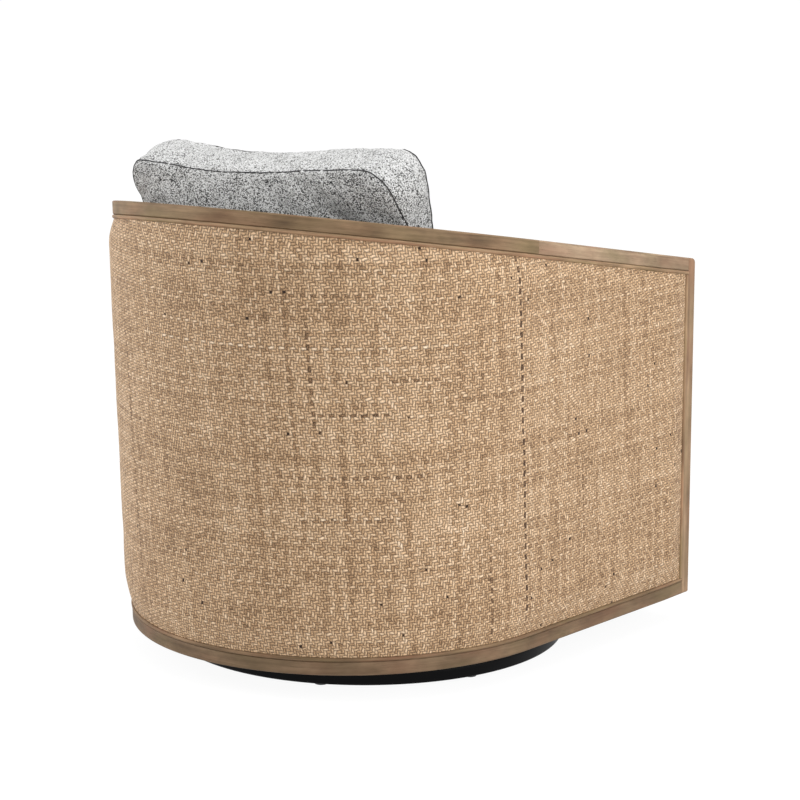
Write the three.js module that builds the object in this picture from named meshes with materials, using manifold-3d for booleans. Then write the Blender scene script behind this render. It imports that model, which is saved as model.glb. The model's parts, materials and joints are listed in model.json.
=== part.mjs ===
import * as THREE from 'three';
import { mergeVertices } from 'three/addons/utils/BufferGeometryUtils.js';
import Module from 'manifold-3d';

// A barrel-backed swivel rocker. Millimetres, +Z up, floor at z = 0, the sitter faces -Y.
// The round back and the two splayed arms are one wall, and every layer of that wall is a parallel
// offset of one plan curve. Under the seat a sprung rocker turns on a ball bearing over a floor ring.

const wasm = await Module();
wasm.setup();
const radians = THREE.MathUtils.degToRad;

// Driving dimensions

const barrel = {
  backRadius: 375, // outer face of the round back
  armLength: 447, // straight run of an arm
  splay: radians(6), // how far each arm opens toward the front
  backHeight: 755, // floor to the top rail at the back
  frontHeight: 612, // floor to the top rail at the front
  floorGap: 43, // floor to the underside of the bottom rails
  lean: 19, // the foot of the back stands this far inside its top
  leanDepth: 190, // the lean is whole over this much of the depth, then fades out toward the front
};
const clearance = { seat: 0.3, running: 0.45, lap: 1.2, cushion: 2.5, soft: 0.8 };
const cutOverrun = 2;

const rail = { height: 22, width: 30, ease: 2.5 };
const frontRail = { width: 18 };
const post = { depth: 21, round: 7 };
const bead = { height: 6, width: 8, proud: 1.2, ease: 1.8 };
const panel = { bulge: 9, tuck: 1.5, back: 8.5, topRise: 42, footRise: 52, endRise: 48 };
const liner = { thickness: 5 };
const stud = { bend: radians(39) }; // from the middle of the round back
const padding = { thickness: 20, topDrop: 5, round: 8 };
const apron = { recess: 2, thickness: 38 };
const hoop = { thickness: 18, width: 60 };
const seat = { frameTop: 291, deckLift: 15, deckThickness: 16, rollDepth: 22 };
const sheet = { thickness: 1.5, inset: 36 };
const crossRail = { width: 40, height: 32, tab: 45, spread: 95 };
const wave = { count: 4, wire: 3.8, width: 44, crown: 9, sideRoom: 82, landing: 8, pitch: 60 };
const seatCushion = { thickness: 148, cornerRadius: 40, frontBow: 6 };
const backCushion = {
  width: 474, height: 360, thickness: 146, tilt: radians(13), cornerRadius: 44, topSag: 14,
};

const ring = { outerRadius: 325, width: 46, height: 22.7, round: 7, footRound: 3, innerRound: 3, centreY: -38 };
const glide = { count: 8, radius: 11, height: 3, inset: 17, firstAngle: radians(19.5), ease: 0.8 };
const cross = { width: 42, thickness: 5, hubRadius: 82, endGap: 7, endRound: 8 };
const race = { innerRadius: 40, outerRadius: 72, thickness: 5.6, spread: 5, ease: 1.2 };
const ball = { radius: 4, circle: 55, count: 12 };
const cage = { thickness: 2, innerRadius: 48.5, outerRadius: 61.5 };
const kingPin = { radius: 10, headRadius: 19, headHeight: 4, ease: 1 };
const plate = { width: 276, depth: 270, thickness: 4, round: 22 };

const rocker = {
  pivotHeight: 106,
  limit: radians(5), // rocks this far each way
  pinRadius: 6,
  pinHeadRadius: 10,
  pinHeadHeight: 4,
  pinEase: 0.8,
};
const standard = { web: 3, webX: 112, footLength: 128, footWidth: 28, noseRadius: 13 };
const hanger = {
  web: 3, flange: 3, flangeWidth: 46, run: 250, earRadius: 15, bossRadius: 12, footWidth: 16, gap: 3,
  depth: 12,
};
const bumper = { height: 8, width: 18, run: 262, ease: 2 };
const spring = { coilRadius: 14, wire: 3.2, curls: 5, x: 92, y: 86 };

const steps = {
  round: 28, arm: 3, ring: 48, rim: 1, race: 36, groove: 4, cage: 24, small: 20, pin: 16, glide: 12,
  corner: 5, hole: 8, post: 3, ball: 8, ballRings: 4, curl: 8, curlSides: 5, wave: 6, waveSides: 4,
  cushionCorner: 4, cushionFront: 8, cushionTop: 6, edge: 3, settling: 2,
};
const CHAMFER_SHARE = 1 / 3; // where a rounded corner is drawn as two chamfers
const GIRTH_SHARE = 1 / 3; // share of its height where the seat cushion is widest

// Sizes that follow from them

const turn = Math.PI / 2 - barrel.splay; // from the middle of the back to the start of an arm
const depth = barrel.backRadius * (1 - Math.sin(barrel.splay)) + barrel.armLength * Math.cos(barrel.splay);
const frontY = -depth / 2;
const arcCentreY = depth / 2 - barrel.backRadius;
const postBackY = frontY + post.depth;
const armEndY = postBackY + clearance.seat;
const beadEndY = armEndY + bead.height;
const panelEndY = beadEndY + clearance.seat;
const plumbY = panelEndY + panel.endRise; // in front of this plane the arms stand plumb
const panelTop = rail.height + 2 * clearance.seat + bead.height;
const panelFoot = barrel.floorGap + panelTop;
const linerFace = panel.back + clearance.seat;
const studFace = linerFace + liner.thickness + clearance.seat;
const roomFace = rail.width + clearance.seat;
const cushionInset = roomFace + padding.thickness + clearance.cushion;
const apronFrontY = frontY + apron.recess;
const apronBackY = apronFrontY + apron.thickness;
const deckBottom = seat.frameTop + seat.deckLift;
const deckTop = deckBottom + seat.deckThickness;
const cushionBottom = deckTop + clearance.seat;

const glideCircle = ring.outerRadius - glide.inset;
const ringBottom = glide.height + clearance.seat;
const ringTop = ringBottom + ring.height;
const lowerRaceBottom = ringTop + clearance.seat;
const lowerRaceTop = lowerRaceBottom + race.thickness;
const upperRaceBottom = lowerRaceTop + race.spread;
const plateBottom = upperRaceBottom + race.thickness + clearance.seat;
const plateTop = plateBottom + plate.thickness;
const ballHeight = (lowerRaceTop + upperRaceBottom) / 2;
const grooveRadius = ball.radius + clearance.running;
const holeRadius = kingPin.radius + clearance.seat;
const pinHole = rocker.pinRadius + clearance.seat;

const standardOuterX = standard.webX + standard.web;
const hangerX = standardOuterX + hanger.gap;
const hangerOuterX = hangerX + hanger.web;
const flangeBottom = rocker.pivotHeight + standard.noseRadius + hanger.depth;
const flangeTop = flangeBottom + hanger.flange;
const sheetBottom = flangeTop + clearance.seat;
const lowerHoopBottom = sheetBottom + sheet.thickness + clearance.seat;
const lowerHoopTop = lowerHoopBottom + hoop.thickness;
const bumperTop = plateTop + clearance.seat + bumper.height;
const hangerReach = hanger.run / 2;

// Finishes

const finish = (color, roughness, metalness = 0) => new THREE.MeshStandardMaterial({
  color, roughness, metalness, flatShading: true,
});
const weatheredOak = () => finish(0x98826a, 0.62);
const paleBead = () => finish(0xa58a6c, 0.6);
const wovenCane = () => finish(0xb49678, 0.78);
const plywood = () => finish(0xc8a97c, 0.7);
const speckledFabric = () => finish(0xaeaeac, 0.95);
const deckCloth = () => finish(0x8f8f8e, 0.95);
const blackCloth = () => finish(0x1d1d1e, 0.95);
const blackEnamel = () => finish(0x141416, 0.42, 0.6);
const zincSteel = () => finish(0x9b9ea1, 0.38, 0.9);
const springSteel = () => finish(0x4c4f53, 0.4, 0.9);
const rubber = () => finish(0x19191a, 0.85);
const nylon = () => finish(0x232325, 0.5);

// Solids

/** Closed geometry from vertices and triangles, turned so that its faces point out. */
function closedGeometry(vertices, triangles) {
  let volume = 0;
  for (const [a, b, c] of triangles) {
    const [p, q, r] = [vertices[a], vertices[b], vertices[c]];
    volume += p[0] * (q[1] * r[2] - q[2] * r[1]) + p[1] * (q[2] * r[0] - q[0] * r[2])
      + p[2] * (q[0] * r[1] - q[1] * r[0]);
  }
  const outward = volume > 0 ? triangles : triangles.map(([a, b, c]) => [a, c, b]);
  const geometry = new THREE.BufferGeometry();
  geometry.setAttribute('position', new THREE.Float32BufferAttribute(vertices.flat(), 3));
  geometry.setIndex(outward.flat());
  geometry.computeVertexNormals();
  return geometry;
}

/** Triangles that fill one flat ring of points, wound the way that the ring runs. */
function fillRing(ringPoints) {
  const points = ringPoints.map((p) => new THREE.Vector3(...p));
  const normal = new THREE.Vector3();
  points.forEach((p, i) => normal.add(p.clone().cross(points[(i + 1) % points.length])));
  normal.normalize();
  const level = Math.abs(normal.z) < Math.SQRT1_2;
  const across = new THREE.Vector3(level ? 0 : 1, 0, level ? 1 : 0).cross(normal).normalize();
  const up = new THREE.Vector3().crossVectors(normal, across);
  const flat = points.map((p) => new THREE.Vector2(p.dot(across), p.dot(up)));
  return THREE.ShapeUtils.triangulateShape(flat, []).map(([a, b, c]) => {
    const area = flat[b].clone().sub(flat[a]).cross(flat[c].clone().sub(flat[a]));
    return area > 0 ? [a, b, c] : [a, c, b];
  });
}

/**
 * Skin over a row of rings with as many points each, with both ends filled. A twisted patch is always
 * folded along the diagonal that climbs from ring to ring, so that parallel layers stay parallel.
 */
function loft(rings) {
  const count = rings[0].length;
  const triangles = [];
  for (let i = 0; i + 1 < rings.length; i += 1) {
    for (let j = 0; j < count; j += 1) {
      const next = (j + 1) % count;
      const a = i * count + j;
      const b = i * count + next;
      const [c, d] = [b + count, a + count];
      const climbs = rings[i][next][2] > rings[i][j][2];
      if (climbs) triangles.push([a, b, c], [a, c, d]);
      else triangles.push([a, b, d], [b, c, d]);
    }
  }
  const last = (rings.length - 1) * count;
  fillRing(rings[0]).forEach(([a, b, c]) => triangles.push([a, c, b]));
  fillRing(rings.at(-1)).forEach(([a, b, c]) => triangles.push([last + a, last + b, last + c]));
  return closedGeometry(rings.flat(), triangles);
}

/** The same body with shared corners merged and flat triangles dropped. */
function welded(geometry) {
  const bare = geometry.clone();
  bare.deleteAttribute('normal');
  bare.deleteAttribute('uv');
  const merged = mergeVertices(bare);
  const kept = [];
  const index = merged.index.array;
  for (let i = 0; i < index.length; i += 3) {
    const [a, b, c] = index.slice(i, i + 3);
    if (a !== b && b !== c && c !== a) kept.push(a, b, c);
  }
  merged.setIndex(kept);
  return merged;
}

function solid(geometry) {
  const body = welded(geometry);
  return new wasm.Manifold(new wasm.Mesh({
    numProp: 3,
    vertProperties: Float32Array.from(body.attributes.position.array),
    triVerts: Uint32Array.from(body.index.array),
  }));
}

function geometryOf(body) {
  const mesh = body.getMesh();
  const geometry = new THREE.BufferGeometry();
  geometry.setAttribute('position', new THREE.BufferAttribute(Float32Array.from(mesh.vertProperties), 3));
  geometry.setIndex(Array.from(mesh.triVerts));
  geometry.computeVertexNormals();
  return geometry;
}

const joined = (...parts) => geometryOf(parts.map(solid).reduce((whole, part) => whole.add(part)));
const cut = (part, ...tools) => geometryOf(
  tools.map(solid).reduce((left, tool) => left.subtract(tool), solid(part)),
);

/** Box between two corners. */
function box(low, high) {
  const size = high.map((value, i) => value - low[i]);
  const middle = high.map((value, i) => (value + low[i]) / 2);
  return new THREE.BoxGeometry(...size).translate(...middle);
}

/** Outline in plan, raised from one height to another. */
function slab(shape, low, high, curveSegments = steps.corner) {
  const options = { depth: high - low, bevelEnabled: false, curveSegments };
  return new THREE.ExtrudeGeometry(shape, options).translate(0, 0, low);
}

/** Outline in the Y-Z plane, drawn along X. */
function prismAlongX(shape, from, to, curveSegments) {
  const turnUp = new THREE.Matrix4().makeBasis(
    new THREE.Vector3(0, 1, 0), new THREE.Vector3(0, 0, 1), new THREE.Vector3(1, 0, 0),
  );
  return slab(shape, from, to, curveSegments).applyMatrix4(turnUp);
}

/** Outline in the X-Z plane, drawn along Y. */
function prismAlongY(shape, from, to) {
  return slab(shape, -to, -from).rotateX(Math.PI / 2);
}

function roundedRectangle(left, bottom, right, top, radius) {
  const shape = new THREE.Shape();
  shape.absarc(right - radius, top - radius, radius, 0, Math.PI / 2);
  shape.absarc(left + radius, top - radius, radius, Math.PI / 2, Math.PI);
  shape.absarc(left + radius, bottom + radius, radius, Math.PI, Math.PI * 1.5);
  shape.absarc(right - radius, bottom + radius, radius, Math.PI * 1.5, Math.PI * 2);
  return shape;
}

const polygon = (points) => new THREE.Shape(points.map(([x, y]) => new THREE.Vector2(x, y)));

/** Profile of radius and height, turned about the Z axis. */
function turned(profile, segments) {
  const points = profile.map(([radius, height]) => new THREE.Vector2(radius, height));
  if (THREE.ShapeUtils.area(points) < 0) points.reverse();
  return new THREE.LatheGeometry(points, segments).rotateX(Math.PI / 2);
}

/** Pin or button on the Z axis from one height to another, with its rims eased. */
function button(radius, low, high, ease, segments) {
  return turned([
    [0, low], [radius - ease, low], [radius, low + ease],
    [radius, high - ease], [radius - ease, high], [0, high],
  ], segments);
}

/** Wire of round section along a list of points. */
function wireAlong(points, diameter, sides) {
  const rings = points.map((point, i) => {
    const before = points[Math.max(i - 1, 0)];
    const after = points[Math.min(i + 1, points.length - 1)];
    const forward = after.clone().sub(before).normalize();
    const across = new THREE.Vector3(0, 0, 1).cross(forward).normalize();
    const up = new THREE.Vector3().crossVectors(forward, across);
    return Array.from({ length: sides }, (_, j) => {
      const angle = (j / sides) * Math.PI * 2;
      const offset = across.clone().multiplyScalar(Math.cos(angle)).addScaledVector(up, Math.sin(angle));
      return point.clone().addScaledVector(offset, diameter / 2).toArray();
    });
  });
  return loft(rings);
}

/** Least gap between turns of a wire, over points that lie more than a few diameters apart along it. */
function leastGap(points, diameter) {
  const apart = diameter * Math.PI;
  const travelled = [0];
  points.slice(1).forEach((p, i) => travelled.push(travelled[i] + p.distanceTo(points[i])));
  let least = Infinity;
  for (let i = 0; i < points.length; i += 1) {
    for (let j = i + 1; j < points.length; j += 1) {
      if (travelled[j] - travelled[i] > apart) least = Math.min(least, points[i].distanceTo(points[j]));
    }
  }
  return least - diameter;
}

// The plan curve and the wall built along it

/** Place on the round back, at an angle from its middle; positive is the sitter's left. */
const onBack = (bend) => ({ side: 0, bend });

/** Place on an arm, where a plane across the chair cuts it. */
const onArm = (side, planeY) => ({ side, planeY });

/** Point of the plan, a distance inside the outer face of the frame. */
function planPoint(station, inset) {
  const radius = barrel.backRadius - inset;
  const bend = station.side === 0 ? station.bend : turn;
  const x = radius * Math.sin(bend);
  const y = arcCentreY + radius * Math.cos(bend);
  if (station.side === 0) return [x, y];
  return [station.side * (x + (y - station.planeY) * Math.tan(barrel.splay)), station.planeY];
}

/** Height of the sloping plane that all the top rails lie in. */
const topAt = (y) => THREE.MathUtils.mapLinear(y, frontY, -frontY, barrel.frontHeight, barrel.backHeight);

/** How far the leaning wall stands in at a height. */
function leanAt(y, height) {
  const share = THREE.MathUtils.clamp((y - plumbY) / (depth / 2 - barrel.leanDepth - plumbY), 0, 1);
  const top = topAt(y);
  return (barrel.lean * share * (top - height)) / (top - barrel.floorGap);
}

/** Point of the wall. A spot has an inset, and a rise from the floor or a drop from the top plane. */
function wallPoint(station, spot) {
  const outerY = planPoint(station, 0)[1];
  const height = spot.rise ?? topAt(outerY) - spot.drop;
  const [x, y] = planPoint(station, spot.inset + leanAt(outerY, height));
  return [x, y, spot.rise ?? topAt(y) - spot.drop];
}

const wall = (stations, spotsAt) => loft(stations.map((s) => spotsAt(s).map((spot) => wallPoint(s, spot))));

const range = (from, to, count) => Array.from(
  { length: count + 1 }, (_, i) => from + ((to - from) * i) / count,
);

const backStations = () => range(-turn, turn, steps.round).map(onBack);

/** Stations of a piece that spans the round back and stops just short of the arms' own pieces. */
function backRun() {
  const end = turn - clearance.seat / barrel.backRadius;
  return [onBack(-end), ...backStations().slice(1, -1), onBack(end)];
}

/** Stations along one arm from the round back to a plane across it, nearest the back first. */
function armStations(side, endY) {
  const startY = planPoint(onBack(turn), 0)[1];
  const planes = [...range(startY, plumbY, steps.arm).slice(1), endY];
  return [onBack(side * turn), ...planes.map((y) => onArm(side, y))];
}

/** Stations round the whole wall, from the sitter's right arm to the left. */
function wholeStations(endY) {
  const [right, left] = [-1, 1].map((side) => armStations(side, endY));
  return [...right.reverse(), ...backStations().slice(1, -1), ...left];
}

/** Section between two insets and two levels, its four corners eased. */
function easedSpots(inner, outer, low, high, key, ease) {
  const sign = Math.sign(high - low);
  return [
    { inset: outer + ease, [key]: low }, { inset: inner - ease, [key]: low },
    { inset: inner, [key]: low + ease * sign }, { inset: inner, [key]: high - ease * sign },
    { inset: inner - ease, [key]: high }, { inset: outer + ease, [key]: high },
    { inset: outer, [key]: high - ease * sign }, { inset: outer, [key]: low + ease * sign },
  ];
}

const chair = new THREE.Group();
const baseGroup = new THREE.Group();
const carrierGroup = new THREE.Group();
const seatGroup = new THREE.Group();
const hangerGroup = new THREE.Group();
chair.add(baseGroup, carrierGroup, seatGroup);
seatGroup.add(hangerGroup);
for (const group of [baseGroup, carrierGroup, hangerGroup]) group.position.y = ring.centreY;

function add(group, name, geometry, material) {
  const mesh = new THREE.Mesh(geometry, material);
  mesh.name = name;
  group.add(mesh);
  return mesh;
}

const sides = [['right', -1], ['left', 1]];

// Floor ring, its cross and its glides

function baseRing() {
  const inner = ring.outerRadius - ring.width;
  const { round, footRound, innerRound } = ring;
  const section = new THREE.Shape();
  section.absarc(ring.outerRadius - round, ringTop - round, round, 0, Math.PI / 2);
  section.absarc(inner + innerRound, ringTop - innerRound, innerRound, Math.PI / 2, Math.PI);
  section.absarc(inner + innerRound, ringBottom + innerRound, innerRound, Math.PI, Math.PI * 1.5);
  section.absarc(ring.outerRadius - footRound, ringBottom + footRound, footRound, Math.PI * 1.5, Math.PI * 2);
  const outline = section.getPoints(steps.rim).map((p) => [p.x, p.y]);
  const reach = ring.outerRadius - cross.endGap + clearance.seat;
  const half = cross.width / 2 + clearance.seat;
  const floor = ringTop - cross.thickness - clearance.seat;
  const notch = (angle) => box([-reach, -half, floor], [reach, half, ringTop + cutOverrun]).rotateZ(angle);
  return cut(turned([...outline, outline[0]], steps.ring), notch(0), notch(Math.PI / 2));
}

function baseCross() {
  const low = ringTop - cross.thickness;
  const half = ring.outerRadius - cross.endGap;
  const strap = (angle) => slab(
    roundedRectangle(-half, -cross.width / 2, half, cross.width / 2, cross.endRound), low, ringTop,
  ).rotateZ(angle);
  const hub = slab(new THREE.Shape().absarc(0, 0, cross.hubRadius, 0, Math.PI * 2), low, ringTop, steps.race);
  const hole = button(holeRadius, low - cutOverrun, ringTop + cutOverrun, clearance.seat, steps.small);
  return cut(joined(strap(0), strap(Math.PI / 2), hub), hole);
}

add(baseGroup, 'base_ring', baseRing(), blackEnamel());
add(baseGroup, 'base_cross', baseCross(), blackEnamel());
for (let i = 0; i < glide.count; i += 1) {
  const angle = glide.firstAngle + (i / glide.count) * Math.PI * 2;
  const foot = button(glide.radius, 0, glide.height, glide.ease, steps.glide);
  const mesh = add(baseGroup, `glide_${i + 1}`, foot, nylon());
  mesh.position.set(glideCircle * Math.sin(angle), -glideCircle * Math.cos(angle), 0);
}

// Ball bearing: two grooved races, a cage of balls between them, and the king pin that holds them

/** Race with its groove on top; `flip` gives the upper one. */
function bearingRace(bottom, flip) {
  const face = flip ? bottom : bottom + race.thickness;
  const seatFace = flip ? bottom + race.thickness : bottom;
  const inward = flip ? 1 : -1;
  const lip = Math.abs(face - ballHeight);
  const half = Math.acos(lip / grooveRadius);
  const groove = range(-half, half, steps.groove).map((a) => [
    ball.circle + grooveRadius * Math.sin(a), ballHeight + inward * grooveRadius * Math.cos(a),
  ]);
  const outline = [
    [race.innerRadius, seatFace], [race.innerRadius, face + inward * race.ease],
    [race.innerRadius + race.ease, face], ...groove, [race.outerRadius - race.ease, face],
    [race.outerRadius, face + inward * race.ease], [race.outerRadius, seatFace],
  ];
  return turned([...outline, outline[0]], steps.race);
}

function ballCage() {
  const outline = [
    [cage.innerRadius, ballHeight - cage.thickness / 2], [cage.outerRadius, ballHeight - cage.thickness / 2],
    [cage.outerRadius, ballHeight + cage.thickness / 2], [cage.innerRadius, ballHeight + cage.thickness / 2],
  ];
  const band = turned([...outline, outline[0]], steps.cage);
  const balls = Array.from({ length: ball.count }, (_, i) => {
    const angle = (i / ball.count) * Math.PI * 2;
    return new THREE.SphereGeometry(ball.radius, steps.ball, steps.ballRings)
      .rotateX(Math.PI / 2)
      .translate(ball.circle * Math.cos(angle), ball.circle * Math.sin(angle), ballHeight);
  });
  return joined(band, ...balls);
}

function kingPinBody() {
  const lowerFace = ringTop - cross.thickness - clearance.seat;
  const upperFace = plateTop + clearance.seat;
  return turned([
    [0, lowerFace - kingPin.headHeight], [kingPin.headRadius - kingPin.ease, lowerFace - kingPin.headHeight],
    [kingPin.headRadius, lowerFace - kingPin.headHeight + kingPin.ease], [kingPin.headRadius, lowerFace],
    [kingPin.radius, lowerFace], [kingPin.radius, upperFace], [kingPin.headRadius, upperFace],
    [kingPin.headRadius, upperFace + kingPin.headHeight - kingPin.ease],
    [kingPin.headRadius - kingPin.ease, upperFace + kingPin.headHeight], [0, upperFace + kingPin.headHeight],
  ], steps.small);
}

add(baseGroup, 'lower_race', bearingRace(lowerRaceBottom, false), zincSteel());
add(baseGroup, 'king_pin', kingPinBody(), zincSteel());
add(baseGroup, 'ball_cage', ballCage(), zincSteel());
add(carrierGroup, 'upper_race', bearingRace(upperRaceBottom, true), zincSteel());

// Swivel plate, with the two standards that carry the rocker's pins, and the rubber stops

function swivelPlate() {
  const [x, y] = [plate.width / 2, plate.depth / 2];
  const shape = roundedRectangle(-x, -y, x, y, plate.round);
  const hole = button(
    holeRadius, plateBottom - cutOverrun, plateTop + cutOverrun, clearance.seat, steps.small,
  );
  return cut(slab(shape, plateBottom, plateTop), hole);
}

/** Web plate that narrows from its foot to a round nose about the pivot, on a bolted foot. */
function standardBody(side) {
  const low = plateTop + clearance.seat;
  const half = standard.footLength / 2;
  const fall = rocker.pivotHeight - (low + standard.web);
  const slope = Math.atan2(half - standard.noseRadius, fall);
  const shape = new THREE.Shape();
  shape.moveTo(-half, low);
  shape.lineTo(half, low);
  shape.lineTo(half, low + standard.web);
  shape.absarc(0, rocker.pivotHeight, standard.noseRadius, slope, Math.PI - slope);
  shape.lineTo(-half, low + standard.web);
  const hole = new THREE.Path();
  hole.absarc(0, rocker.pivotHeight, pinHole, 0, Math.PI * 2);
  shape.holes.push(hole);
  const web = prismAlongX(shape, standard.webX, standardOuterX, steps.hole);
  const foot = box(
    [standard.webX - standard.footWidth, -half, low],
    [standard.webX + standard.web / 2, half, low + standard.web],
  );
  return mirrored(joined(web, foot), side);
}

/** The same body on the sitter's left, or mirrored for the right. */
function mirrored(geometry, side) {
  return side > 0 ? geometry : geometryOf(solid(geometry).mirror([1, 0, 0]));
}

function pivotPin(side) {
  const collarEnd = standard.webX - clearance.seat;
  const headStart = hangerOuterX + clearance.seat;
  const { pinRadius, pinHeadRadius, pinHeadHeight, pinEase } = rocker;
  const body = turned([
    [0, collarEnd - pinHeadHeight], [pinHeadRadius - pinEase, collarEnd - pinHeadHeight],
    [pinHeadRadius, collarEnd - pinHeadHeight + pinEase], [pinHeadRadius, collarEnd],
    [pinRadius, collarEnd], [pinRadius, headStart], [pinHeadRadius, headStart],
    [pinHeadRadius, headStart + pinHeadHeight - pinEase],
    [pinHeadRadius - pinEase, headStart + pinHeadHeight], [0, headStart + pinHeadHeight],
  ], steps.pin).rotateY(Math.PI / 2).translate(0, 0, rocker.pivotHeight);
  return mirrored(body, side);
}

/** Height of the hanger's feet, so that they meet the rubber at the end of the rock. */
function hangerFootHeight() {
  const lever = hangerReach;
  const stop = bumperTop + clearance.seat - rocker.pivotHeight;
  return rocker.pivotHeight + (stop + lever * Math.sin(rocker.limit)) / Math.cos(rocker.limit);
}

/** Hanging side plate: a foot at each end for the stops, an ear on the pin, and a flange on top. */
function hangerBody(side) {
  const footTop = flangeTop;
  const footLow = hangerFootHeight();
  const brow = flangeBottom - hanger.depth;
  const shape = new THREE.Shape();
  shape.moveTo(-hangerReach, footTop);
  shape.lineTo(-hangerReach, footLow);
  shape.lineTo(-hangerReach + hanger.footWidth, footLow);
  shape.quadraticCurveTo(
    -hangerReach + 2 * hanger.footWidth, brow, -hanger.earRadius * 2, brow,
  );
  shape.absarc(0, rocker.pivotHeight, hanger.earRadius, Math.PI, Math.PI * 2);
  shape.lineTo(hanger.earRadius * 2, brow);
  shape.quadraticCurveTo(hangerReach - 2 * hanger.footWidth, brow, hangerReach - hanger.footWidth, footLow);
  shape.lineTo(hangerReach, footLow);
  shape.lineTo(hangerReach, footTop);
  const web = prismAlongX(shape, hangerX, hangerOuterX);
  const flange = box(
    [hangerOuterX - hanger.flangeWidth, -hangerReach, flangeBottom],
    [hangerX + hanger.web / 2, hangerReach, flangeTop],
  );
  const alongX = (geometry) => geometry.rotateY(Math.PI / 2).translate(0, 0, rocker.pivotHeight);
  const boss = alongX(button(
    hanger.bossRadius, standardOuterX + clearance.seat, hangerX + hanger.web / 2,
    clearance.seat, steps.pin,
  ));
  const hole = alongX(button(
    pinHole, standardOuterX - cutOverrun, hangerOuterX + cutOverrun, clearance.seat, steps.pin,
  ));
  return mirrored(cut(joined(web, flange, boss), hole), side);
}

function bumperStrip(end) {
  const middle = end * (hangerReach - hanger.footWidth / 2);
  const shape = roundedRectangle(
    middle - bumper.width / 2, plateTop + clearance.seat, middle + bumper.width / 2, bumperTop, bumper.ease,
  );
  return prismAlongX(shape, -bumper.run / 2, bumper.run / 2);
}

/** Compression spring between the swivel plate and a hanger's flange. */
function coilPoints(x, y) {
  const low = plateTop + clearance.seat + spring.wire / 2;
  const high = flangeBottom - clearance.seat - spring.wire / 2;
  const count = spring.curls * steps.curl;
  return range(0, 1, count).map((share) => {
    const angle = share * spring.curls * Math.PI * 2;
    return new THREE.Vector3(
      x + spring.coilRadius * Math.cos(angle), y + spring.coilRadius * Math.sin(angle),
      THREE.MathUtils.lerp(low, high, share),
    );
  });
}

add(carrierGroup, 'swivel_plate', swivelPlate(), blackEnamel());
for (const [name, side] of sides) {
  add(carrierGroup, `rocker_standard_${name}`, standardBody(side), blackEnamel());
  add(carrierGroup, `pivot_pin_${name}`, pivotPin(side), zincSteel());
  add(hangerGroup, `rocker_hanger_${name}`, hangerBody(side), blackEnamel());
}
for (const [name, end] of [['front', -1], ['rear', 1]]) {
  add(carrierGroup, `bumper_${name}`, bumperStrip(end), rubber());
  for (const [hand, side] of sides) {
    const points = coilPoints(side * spring.x, end * spring.y);
    const coil = wireAlong(points, spring.wire, steps.curlSides);
    add(carrierGroup, `coil_spring_${name}_${hand}`, coil, springSteel());
    console.log(`coil_spring_${name}_${hand} least gap, mm:`, leastGap(points, spring.wire).toFixed(2));
  }
}

// Wooden frame: rails above and below, each in three lengths, and the front posts

const topRailSpots = () => easedSpots(rail.width, 0, 0, rail.height, 'drop', rail.ease);
const bottomRailSpots = () => easedSpots(
  rail.width, 0, barrel.floorGap, barrel.floorGap + rail.height, 'rise', rail.ease,
);

for (const [level, spots] of [['top', topRailSpots], ['bottom', bottomRailSpots]]) {
  add(seatGroup, `${level}_rail_back`, wall(backRun(), spots), weatheredOak());
  for (const [name, side] of sides) {
    add(seatGroup, `${level}_rail_${name}`, wall(armStations(side, armEndY), spots), weatheredOak());
  }
}

/** Post at the front of an arm, its top corner rounded where it faces the front. */
function frontPost(side) {
  const roundPlanes = range(0, Math.PI / 2, steps.post).map((angle) => ({
    planeY: frontY + post.round * (1 - Math.sin(angle)), drop: post.round * (1 - Math.cos(angle)),
  }));
  const planes = [{ planeY: postBackY, drop: 0 }, ...roundPlanes];
  return loft(planes.map(({ planeY, drop }) => {
    const station = onArm(side, planeY);
    const ease = rail.ease;
    return [
      { inset: 0, rise: barrel.floorGap }, { inset: rail.width, rise: barrel.floorGap },
      { inset: rail.width, drop: drop + ease }, { inset: rail.width - ease, drop },
      { inset: ease, drop }, { inset: 0, drop: drop + ease },
    ].map((spot) => wallPoint(station, spot));
  }));
}

/** Plan outline across the front, between the posts, from one plane to another. */
function frontOutline(fromY, toY) {
  const corner = (side, planeY) => planPoint(onArm(side, planeY), roomFace);
  return polygon([corner(-1, fromY), corner(1, fromY), corner(1, toY), corner(-1, toY)]);
}

for (const [name, side] of sides) add(seatGroup, `front_post_${name}`, frontPost(side), weatheredOak());
add(
  seatGroup, 'bottom_rail_front',
  slab(frontOutline(frontY, frontY + frontRail.width), barrel.floorGap, barrel.floorGap + rail.height),
  weatheredOak(),
);

// Beads round the woven panel

const beadSpots = (low, high, key) => easedSpots(
  bead.width - bead.proud, -bead.proud, low, high, key, bead.ease,
);
const topBeadSpots = () => beadSpots(
  rail.height + clearance.seat, rail.height + clearance.seat + bead.height, 'drop',
);
const bottomBeadSpots = () => beadSpots(
  barrel.floorGap + rail.height + clearance.seat,
  barrel.floorGap + rail.height + clearance.seat + bead.height, 'rise',
);

/** Upright bead beside a post, its outer edges eased. */
function endBead(side) {
  const planes = [
    [armEndY, bead.ease], [armEndY + bead.ease, 0], [beadEndY - bead.ease, 0], [beadEndY, bead.ease],
  ];
  return loft(planes.map(([planeY, ease]) => [
    { inset: ease - bead.proud, rise: panelFoot }, { inset: bead.width - bead.proud, rise: panelFoot },
    { inset: bead.width - bead.proud, drop: panelTop }, { inset: ease - bead.proud, drop: panelTop },
  ].map((spot) => wallPoint(onArm(side, planeY), spot))));
}

add(seatGroup, 'bead_top', wall(wholeStations(armEndY), topBeadSpots), paleBead());
add(seatGroup, 'bead_bottom', wall(wholeStations(armEndY), bottomBeadSpots), paleBead());
for (const [name, side] of sides) add(seatGroup, `bead_end_${name}`, endBead(side), paleBead());

// Woven panel, crowned over its padding and drawn in to the beads, and the plywood liner behind it

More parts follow.
